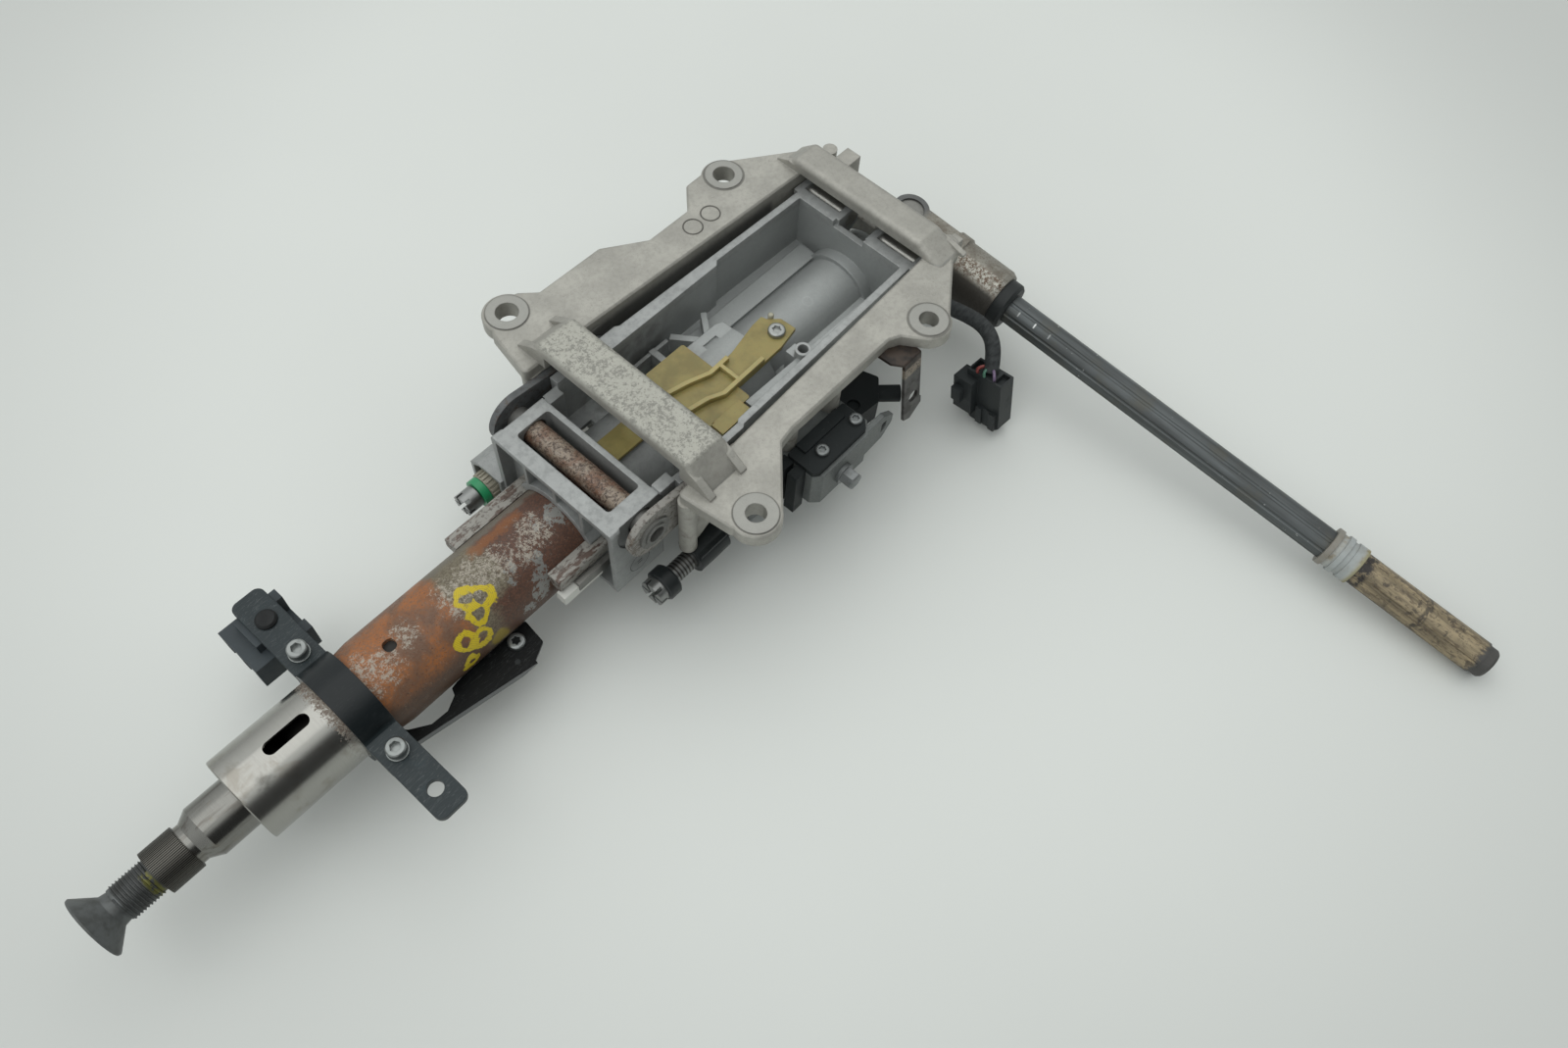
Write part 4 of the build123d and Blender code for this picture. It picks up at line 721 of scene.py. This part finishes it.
def tape_finish():
    """Woven black tape, wound in turns."""
    f = Finish("woven harness tape", 0.75)
    wrap = f.noise(0.004, 3, 0.6, f.stretched((1, 3, 2)))
    weave = f.noise(0.0006, 2)
    fold = f.add("ShaderNodeTexWave", {"Vector": f.point, "Scale": 75.0, "Distortion": 2.5, "Detail": 2.0},
                 bands_direction="DIAGONAL").outputs["Fac"]
    f.bump(f.plus(f.plus(wrap, fold), f.times(weave, 0.4)), 0.0005, 0.8)
    f.colour = f.blend(f.ease(wrap, 0.35, 0.7), (0.018, 0.021, 0.022), (0.038, 0.043, 0.044))
    return f.done()


# Modelling

def start_piece():
    bpy.ops.object.select_all(action="DESELECT")


def edit_select(kind, chosen):
    """Enter edit mode with only the elements of a kind that pass a test."""
    bpy.ops.object.mode_set(mode="EDIT")
    bpy.ops.mesh.select_mode(type=kind)
    bpy.ops.mesh.select_all(action="DESELECT")
    bpy.ops.object.mode_set(mode="OBJECT")
    mesh = bpy.context.object.data
    for element in {"VERT": mesh.vertices, "EDGE": mesh.edges, "FACE": mesh.polygons}[kind]:
        element.select = chosen(mesh, element)
    bpy.ops.object.mode_set(mode="EDIT")


def above(level):
    """Test that picks the edges or faces which lie wholly above a level."""
    return lambda mesh, element: all(mesh.vertices[i].co.z > level for i in element.vertices)


def leave_edit():
    bpy.ops.object.mode_set(mode="OBJECT")


def leave_edit_closed():
    """Turn all faces outward, then leave edit mode."""
    bpy.ops.mesh.select_all(action="SELECT")
    bpy.ops.mesh.normals_make_consistent(inside=False)
    leave_edit()


def apply_place():
    bpy.ops.object.transform_apply(location=True, rotation=True, scale=True)


def apply_modifier(piece, kind, **settings):
    modifier = settle(piece.modifiers.new(kind.lower(), kind), **settings)
    bpy.ops.object.modifier_apply(modifier=modifier.name)


def finish_piece(name, material, body, angle=35):
    """Name the active object, place it in its mesh, and let it ride on its body."""
    piece = bpy.context.object
    piece.name = name
    piece.data.name = name
    apply_place()
    bpy.ops.object.shade_smooth_by_angle(angle=math.radians(angle))
    piece.data.materials.clear()
    piece.data.materials.append(material)
    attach(piece, body)
    return piece


def add_cylinder(sides, radius, height):
    """Upright cylinder that stands on the origin."""
    start_piece()
    bpy.ops.mesh.primitive_cylinder_add(vertices=sides, radius=radius, depth=height,
                                        location=(0, 0, height / 2))
    apply_place()
    return bpy.context.object


def screw_head(place, radius, height, direction=(0, 0, 1)):
    """Pan head with a star recess, built upright and then laid in its direction."""
    recess, rim = (0, 0, height * 0.45), height * 0.9
    start_piece()
    bpy.ops.mesh.primitive_circle_add(vertices=12, radius=radius * 0.55, fill_type="NGON", location=recess)
    star = bpy.context.object
    edit_select("VERT", lambda mesh, corner: corner.index % 2 == 0)
    bpy.ops.transform.resize(value=(0.74, 0.74, 1), center_override=recess)
    bpy.ops.mesh.select_all(action="SELECT")
    bpy.ops.mesh.extrude_region_move(TRANSFORM_OT_translate={"value": (0, 0, height)})
    leave_edit_closed()
    apply_place()
    head = add_cylinder(48, radius, height)
    edit_select("EDGE", above(rim))
    bpy.ops.mesh.bevel(offset=height * 0.55, segments=5, profile=0.6)
    leave_edit()
    apply_modifier(head, "BOOLEAN", operation="DIFFERENCE", object=star, solver="EXACT")
    bpy.data.objects.remove(star)
    settle(head, rotation_mode="QUATERNION", location=place,
           rotation_quaternion=Vector(direction).to_track_quat("Z", "Y"))


def stud(place, radius, height):
    """Small upright stud with a stepped and rounded top."""
    top = height * 0.9
    piece = add_cylinder(32, radius, height)
    edit_select("FACE", above(top))
    bpy.ops.mesh.inset(thickness=radius * 0.3)
    bpy.ops.transform.translate(value=(0, 0, radius * 0.25))
    leave_edit()
    edit_select("EDGE", above(top))
    bpy.ops.mesh.bevel(offset=radius * 0.12, segments=2)
    leave_edit()
    piece.location = place


def thread(start, end, crest, depth, pitch, axis_place):
    """Closed helical ridge about a rod along X, with its foot sunk in the rod."""
    ridge = 0.9 * depth
    start_piece()
    bpy.ops.mesh.primitive_circle_add(vertices=3, radius=1, fill_type="NOTHING",
                                      rotation=(math.pi / 2, 0, 0))
    coil = bpy.context.object
    apply_place()
    bpy.ops.transform.resize(value=(0.55 * pitch, 1, ridge), center_override=(0, 0, 0))
    coil.location = (start, 0, crest - ridge)
    apply_place()
    apply_modifier(coil, "SCREW", axis="X", screw_offset=pitch, iterations=int((end - start) / pitch),
                   steps=36, render_steps=36)
    bpy.ops.object.mode_set(mode="EDIT")
    bpy.ops.mesh.select_all(action="SELECT")
    bpy.ops.mesh.remove_doubles(threshold=0.000005)
    bpy.ops.mesh.fill_holes(sides=3)
    leave_edit_closed()
    coil.location = (0, *axis_place)


def plug_point(place):
    """Place of a point that is given in millimetres from the end of the harness, square to the connector."""
    turn = Matrix.Rotation(PLUG_TURN, 3, "Z") @ Matrix.Rotation(PLUG_LEAN, 3, "X")
    return Vector(HARNESS_ROUTE[-1]) + turn @ Vector([0.001 * value for value in place])


def wire(name, colour, points):
    """Short insulated wire from the end of the tape down into the connector."""
    start_piece()
    bpy.ops.curve.primitive_bezier_curve_add(location=(0, 0, 0))
    line = bpy.context.object.data
    first, last = line.splines[0].bezier_points
    for knot in (first, last):
        settle(knot, handle_left_type="FREE", handle_right_type="FREE")
    start, start_pull, end_pull, end = [plug_point(place) for place in points]
    settle(first, co=start, handle_left=start, handle_right=start_pull)
    settle(last, co=end, handle_left=end_pull, handle_right=end)
    settle(line, bevel_depth=sizes().wire_width / 2, bevel_resolution=4, use_fill_caps=True)
    bpy.ops.object.convert(target="MESH")
    insulation = plastic_finish(f"{name} insulation", colour, roughness=0.35, dust=0.1)
    return finish_piece(name, insulation, "mount_bracket", 60)


def tape_curve():
    """Round curve along the route of the harness."""
    curve = settle(bpy.data.curves.new("harness_tape", "CURVE"), dimensions="3D", resolution_u=24,
                   bevel_depth=sizes().harness_width / 2, bevel_resolution=6, use_fill_caps=True)
    spline = curve.splines.new("NURBS")
    spline.points.add(len(HARNESS_ROUTE) - 1)
    for point, place in zip(spline.points, HARNESS_ROUTE):
        point.co = (*place, 1.0)
    settle(spline, order_u=3, use_endpoint_u=True)
    return curve


class COLUMN_OT_bracket(bpy.types.Operator):
    """Finish the mounting bracket and its casting marks"""
    bl_idname = "column.bracket"
    bl_label = "Mounting bracket"

    def execute(self, context):
        paint_nodes(bracket_finish(), "bracket_casting")
        material = plain_steel("casting mark", shade(colours().bracket, 0.45), 0.6)
        for number, place in enumerate(CASTING_MARKS):
            start_piece()
            bpy.ops.mesh.primitive_torus_add(major_radius=0.0051, minor_radius=0.0004, major_segments=64,
                                             minor_segments=8, location=place)
            finish_piece(f"casting_mark_{number + 1}", material, "mount_bracket", 60)
        return {"FINISHED"}


class COLUMN_OT_housing(bpy.types.Operator):
    """Finish the tilt housing"""
    bl_idname = "column.housing"
    bl_label = "Tilt housing"

    def execute(self, context):
        paint_nodes(housing_finish(), "housing_casting")
        return {"FINISHED"}


class COLUMN_OT_drives(bpy.types.Operator):
    """Finish the gear cases, their cover and the motors"""
    bl_idname = "column.drives"
    bl_label = "Gear cases and motors"

    def execute(self, context):
        cover = plastic_finish("gear cover plastic", colours().plastic, 0.55, 0.15, Specular_IOR_Level=0.18)
        paint_nodes(gear_case_finish(), "tilt_gear_case", "reach_gear_case")
        paint_nodes(cover, "tilt_gear_cover", "sensor_block")
        paint_nodes(plain_steel("plated bolt", (0.23, 0.24, 0.24), 0.45), "gear_case_bolt")
        paint_nodes(plain_steel("motor can steel", (0.30, 0.31, 0.31), 0.38), "tilt_motor", "reach_motor")
        return {"FINISHED"}


class COLUMN_OT_tube(bpy.types.Operator):
    """Finish the column tube, its sleeve and its rails"""
    bl_idname = "column.tube"
    bl_label = "Column tube"

    def execute(self, context):
        rails = rusty_finish("rusty rail steel", (0.105, 0.070, 0.055), (0.27, 0.26, 0.235), share=0.60,
                             grain=0.0030, pits=0.5, pull=0.35)
        bearings = plain_steel("bearing steel", colours().steel, 0.3)
        paint_nodes(tube_finish(), "column_tube")
        paint_nodes(front_sleeve_finish(), "front_sleeve")
        paint_nodes(rails, "tube_rail_left", "tube_rail_right")
        paint_nodes(plain_steel("rail steel", (0.23, 0.225, 0.21), 0.4), "outer_rail")
        paint_nodes(bearings, "upper_bearing", "lower_bearing", "reach_carrier")
        return {"FINISHED"}


class COLUMN_OT_clamp(bpy.types.Operator):
    """Finish the clamp, its screws, the cable clip and the pressed arm, and add the arm's screw"""
    bl_idname = "column.clamp"
    bl_label = "Clamp and pressed arm"

    def execute(self, context):
        zinc = plain_steel("zinc screw", colours().zinc, 0.35)
        clip = plastic_finish("clip plastic", (0.040, 0.050, 0.056), 0.52, 0.3, black_above=-0.0398,
                              Specular_IOR_Level=0.3)
        paint_nodes(clamp_finish(), "clamp_upper", "clamp_lower")
        paint_nodes(arm_finish(), "stamped_arm")
        paint_nodes(zinc, "clamp_screw_left", "clamp_screw_right")
        paint_nodes(clip, "ear_clip")
        screw_head(ARM_SCREW, radius=0.0044, height=0.0026)
        finish_piece("arm_screw", zinc, "reach_tube")
        return {"FINISHED"}


class COLUMN_OT_shafts(bpy.types.Operator):
    """Finish the steering shafts and the wheel bolt, and cut the bolt's thread"""
    bl_idname = "column.shafts"
    bl_label = "Steering shafts"

    def execute(self, context):
        bolt = bolt_finish()
        paint_nodes(shaft_finish(), "upper_shaft", "lower_shaft")
        paint_nodes(bolt, "wheel_bolt")
        thread(*BOLT_THREAD, crest=0.0087, depth=sizes().thread_depth, pitch=sizes().thread_pitch,
               axis_place=COLUMN_AXIS)
        finish_piece("wheel_bolt_thread", bolt, "upper_shaft", 30)
        return {"FINISHED"}


class COLUMN_OT_joint(bpy.types.Operator):
    """Finish the universal joint and the folded intermediate shaft"""
    bl_idname = "column.joint"
    bl_label = "Universal joint and intermediate shaft"

    def execute(self, context):
        cross = plain_steel("joint steel", shade(colours().steel, 0.6), 0.4)
        seal = plastic_finish("seal rubber", (0.022, 0.025, 0.025), 0.5, Specular_IOR_Level=0.25)
        paint_nodes(yoke_finish(), "output_yoke")
        paint_nodes(plain_steel("dark yoke steel", (0.15, 0.155, 0.155), 0.45), "input_yoke")
        paint_nodes(cross, "joint_cross", "input_cup_left", "input_cup_right", "output_cup_top",
                    "output_cup_bottom")
        paint_nodes(seal, "seal_collar")
        paint_nodes(fluted_finish(), "fluted_tube")
        paint_nodes(ribbed_finish(), "ribbed_sleeve")
        paint_nodes(coating_finish(), "sliding_end")
        return {"FINISHED"}


class COLUMN_OT_levers(bpy.types.Operator):
    """Finish the swing levers, their pins and the bent tab"""
    bl_idname = "column.levers"
    bl_label = "Swing levers and pins"

    def execute(self, context):
        worn = rusty_finish("worn lever steel", (0.13, 0.105, 0.085), (0.255, 0.245, 0.225), share=0.57,
                            grain=0.0025, pits=0.5, pull=0.5)
        dark = rusty_finish("dark lever steel", (0.085, 0.07, 0.06), (0.10, 0.105, 0.107), share=0.56,
                            grain=0.003, pits=0.4)
        pins = plain_steel("pin steel", colours().steel, 0.35)
        paint_nodes(pin_finish(), "cross_pin")
        paint_nodes(worn, "lever_right")
        paint_nodes(dark, "lever_left")
        paint_nodes(tab_finish(), "stamped_tab")
        paint_nodes(pins, "lever_pin_left", "lever_pin_right", "pivot_pin_left", "pivot_pin_right")
        return {"FINISHED"}


class COLUMN_OT_spindles(bpy.types.Operator):
    """Finish the two spindles with their nuts and rings, and cut their threads"""
    bl_idname = "column.spindles"
    bl_label = "Spindles"

    def execute(self, context):
        c = colours()
        steel = spindle_finish()
        paint_nodes(steel, "tilt_spindle", "reach_spindle")
        for spindle, axis_place, start, end, crest in SPINDLES:
            thread(start, end, crest, depth=0.0006, pitch=sizes().spindle_pitch, axis_place=axis_place)
            finish_piece(f"{spindle}_thread", steel, spindle, 30)
        rings = plastic_finish("black ring plastic", c.plastic, 0.4, Specular_IOR_Level=0.3)
        paint_nodes(rings, "spindle_ring", "tilt_nut")
        paint_nodes(plastic_finish("green ring plastic", c.green, 0.4, 0.15), "green_ring")
        paint_nodes(plastic_finish("pale cage plastic", c.cream, 0.5, 0.05), "roller_cage")
        paint_nodes(plastic_finish("beige nut plastic", (0.30, 0.28, 0.22), 0.5, 0.05), "spindle_bearing")
        return {"FINISHED"}


class COLUMN_OT_guide(bpy.types.Operator):
    """Finish the cable guide, and add its screw and its stud"""
    bl_idname = "column.guide"
    bl_label = "Cable guide"

    def execute(self, context):
        paint_nodes(guide_finish(), "guide_plate")
        screw_head(GUIDE_SCREW, sizes().guide_screw, height=0.0026)
        zinc = plain_steel("guide screw zinc", (0.33, 0.34, 0.33), 0.34)
        finish_piece("guide_screw", zinc, "tilt_housing")
        stud(GUIDE_STUD, radius=0.0016, height=0.0062)
        pale = plastic_finish("pale stud plastic", (0.36, 0.345, 0.26), 0.45, 0.1)
        finish_piece("guide_stud", pale, "tilt_housing")
        return {"FINISHED"}


class COLUMN_OT_cover_screws(bpy.types.Operator):
    """Add the screws of the gear cover"""
    bl_idname = "column.cover_screws"
    bl_label = "Gear cover screws"

    def execute(self, context):
        zinc = plain_steel("cover screw zinc", (0.19, 0.20, 0.20), 0.36)
        for number, place in enumerate(COVER_SCREWS):
            screw_head(place, sizes().cover_screw, height=0.0022)
            finish_piece(f"cover_screw_{number + 1}", zinc, "mount_bracket")
        return {"FINISHED"}


class COLUMN_OT_harness(bpy.types.Operator):
    """Lay the taped harness from its gland to the connector"""
    bl_idname = "column.harness"
    bl_label = "Wiring harness"

    def execute(self, context):
        start_piece()
        cord = bpy.data.objects.new("harness_tape", tape_curve())
        context.collection.objects.link(cord)
        cord.data.materials.append(tape_finish())
        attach(cord, "mount_bracket")
        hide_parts("harness")
        wires = [wire(*row) for row in WIRES]
        shell = plastic_finish("connector plastic", shade(colours().plastic, 1.3), Specular_IOR_Level=0.35)
        paint_nodes(shell, "connector", "harness_clip")
        return {"FINISHED"}


def add_lamp(name, place, width, power, colour):
    """Rectangular lamp that faces the middle of the column."""
    start_piece()
    bpy.ops.object.light_add(type="AREA", location=place)
    lamp = bpy.context.object
    lamp.name = name
    settle(lamp.data, shape="RECTANGLE", size=width[0], size_y=width[1], energy=power, color=colour)
    lamp.rotation_euler = (Vector() - Vector(place)).to_track_quat("-Z", "Y").to_euler()


def add_camera(scene):
    data = settle(bpy.data.cameras.new("camera"), sensor_width=36, lens=CAMERA_LENS, clip_start=0.01)
    camera = bpy.data.objects.new("camera", data)
    scene.collection.objects.link(camera)
    turn = Matrix((CAMERA_RIGHT, CAMERA_UP, CAMERA_BACK)).transposed().to_4x4()
    camera.matrix_world = Matrix.Translation(CAMERA_PLACE) @ turn
    scene.camera = camera


def floor_material():
    """Pale table with a faint cloudiness, and painted shade that makes it darker far from the column."""
    f = Finish("pale table", 0.6)
    cloud = f.noise(0.35, 3, 0.5)
    tone = colours().table
    f.colour = f.blend(f.ease(cloud, 0.3, 0.7), shade(tone, 0.985), shade(tone, 1.015))
    # Painted shade: the table is darkened away from its middle, as a painted falloff of the light.
    f.coat(shade(tone, 0.80), f.ease(f.distance(LIGHT_POOL_MIDDLE, flat=True), 0.30, 0.62))
    return f.done()


def studio_world(scene):
    """Soft daylight from above, and a shade where the viewer stands."""
    world = bpy.data.worlds.new("studio")
    world.use_nodes = True
    scene.world = world
    sky = Nodes(world.node_tree)
    facing = sky.add("ShaderNodeTexCoord").outputs["Generated"]
    height = sky.dot(facing, Vector((-0.10, 0.20, 0.97)).normalized())
    toward = sky.dot(facing, (0.0, -0.944, 0.331))
    light = sky.times(sky.ease(height, 0.10, 0.95, 0.56, 0.98), sky.ease(toward, 0.76, 0.95, 1.0, 0.12))
    seen = sky.add("ShaderNodeLightPath").outputs["Is Camera Ray"]
    background = world.node_tree.nodes["Background"]
    sky.feed(background.inputs["Color"], (0.97, 1.0, 0.99))
    strength = sky.add("ShaderNodeMix", {0: seen, 2: light, 3: 0.82}).outputs[0]
    sky.feed(background.inputs["Strength"], strength)


class COLUMN_OT_stage(bpy.types.Operator):
    """Set the table, the lamps and the camera"""
    bl_idname = "column.stage"
    bl_label = "Stage"

    def execute(self, context):
        start_piece()
        bpy.ops.mesh.primitive_plane_add(size=8, location=(0, 0, FLOOR_Z))
        table = context.object
        table.name = "table"
        table.data.materials.append(floor_material())
        studio_world(context.scene)
        add_lamp("window", (0.0, 0.35, 2.1), width=(3.2, 2.5), power=13, colour=(1.0, 1.0, 0.98))
        add_lamp("fill", (-1.2, -0.1, 1.5), width=(1.4, 1.4), power=4, colour=(0.96, 0.98, 1.0))
        add_camera(context.scene)
        context.scene.view_settings.view_transform = "Standard"
        return {"FINISHED"}


STEPS = (COLUMN_OT_stage, COLUMN_OT_harness, COLUMN_OT_bracket, COLUMN_OT_housing, COLUMN_OT_drives,
         COLUMN_OT_tube, COLUMN_OT_clamp, COLUMN_OT_shafts, COLUMN_OT_joint, COLUMN_OT_levers,
         COLUMN_OT_spindles, COLUMN_OT_guide, COLUMN_OT_cover_screws)


class COLUMN_PT_panel(bpy.types.Panel):
    """Lists the sizes, the colours and the steps"""
    bl_idname = "COLUMN_PT_panel"
    bl_label = "Steering column"
    bl_space_type = "VIEW_3D"
    bl_region_type = "UI"
    bl_category = "Column"

    def draw(self, context):
        for group in (context.scene.column_sizes, context.scene.column_colours):
            box = self.layout.box()
            for name in group.__annotations__:
                box.prop(group, name)
        for step in STEPS:
            self.layout.operator(step.bl_idname)


CLASSES = (ColumnSizes, ColumnColours, *STEPS, COLUMN_PT_panel)


def register():
    for item in CLASSES:
        bpy.utils.register_class(item)
    bpy.types.Scene.column_sizes = bpy.props.PointerProperty(type=ColumnSizes)
    bpy.types.Scene.column_colours = bpy.props.PointerProperty(type=ColumnColours)


def unregister():
    del bpy.types.Scene.column_colours
    del bpy.types.Scene.column_sizes
    for item in reversed(CLASSES):
        bpy.utils.unregister_class(item)


def main():
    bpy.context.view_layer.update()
    register()
    for step in STEPS:
        group, name = step.bl_idname.split(".")
        getattr(getattr(bpy.ops, group), name)()


if __name__ == "__main__":
    main()
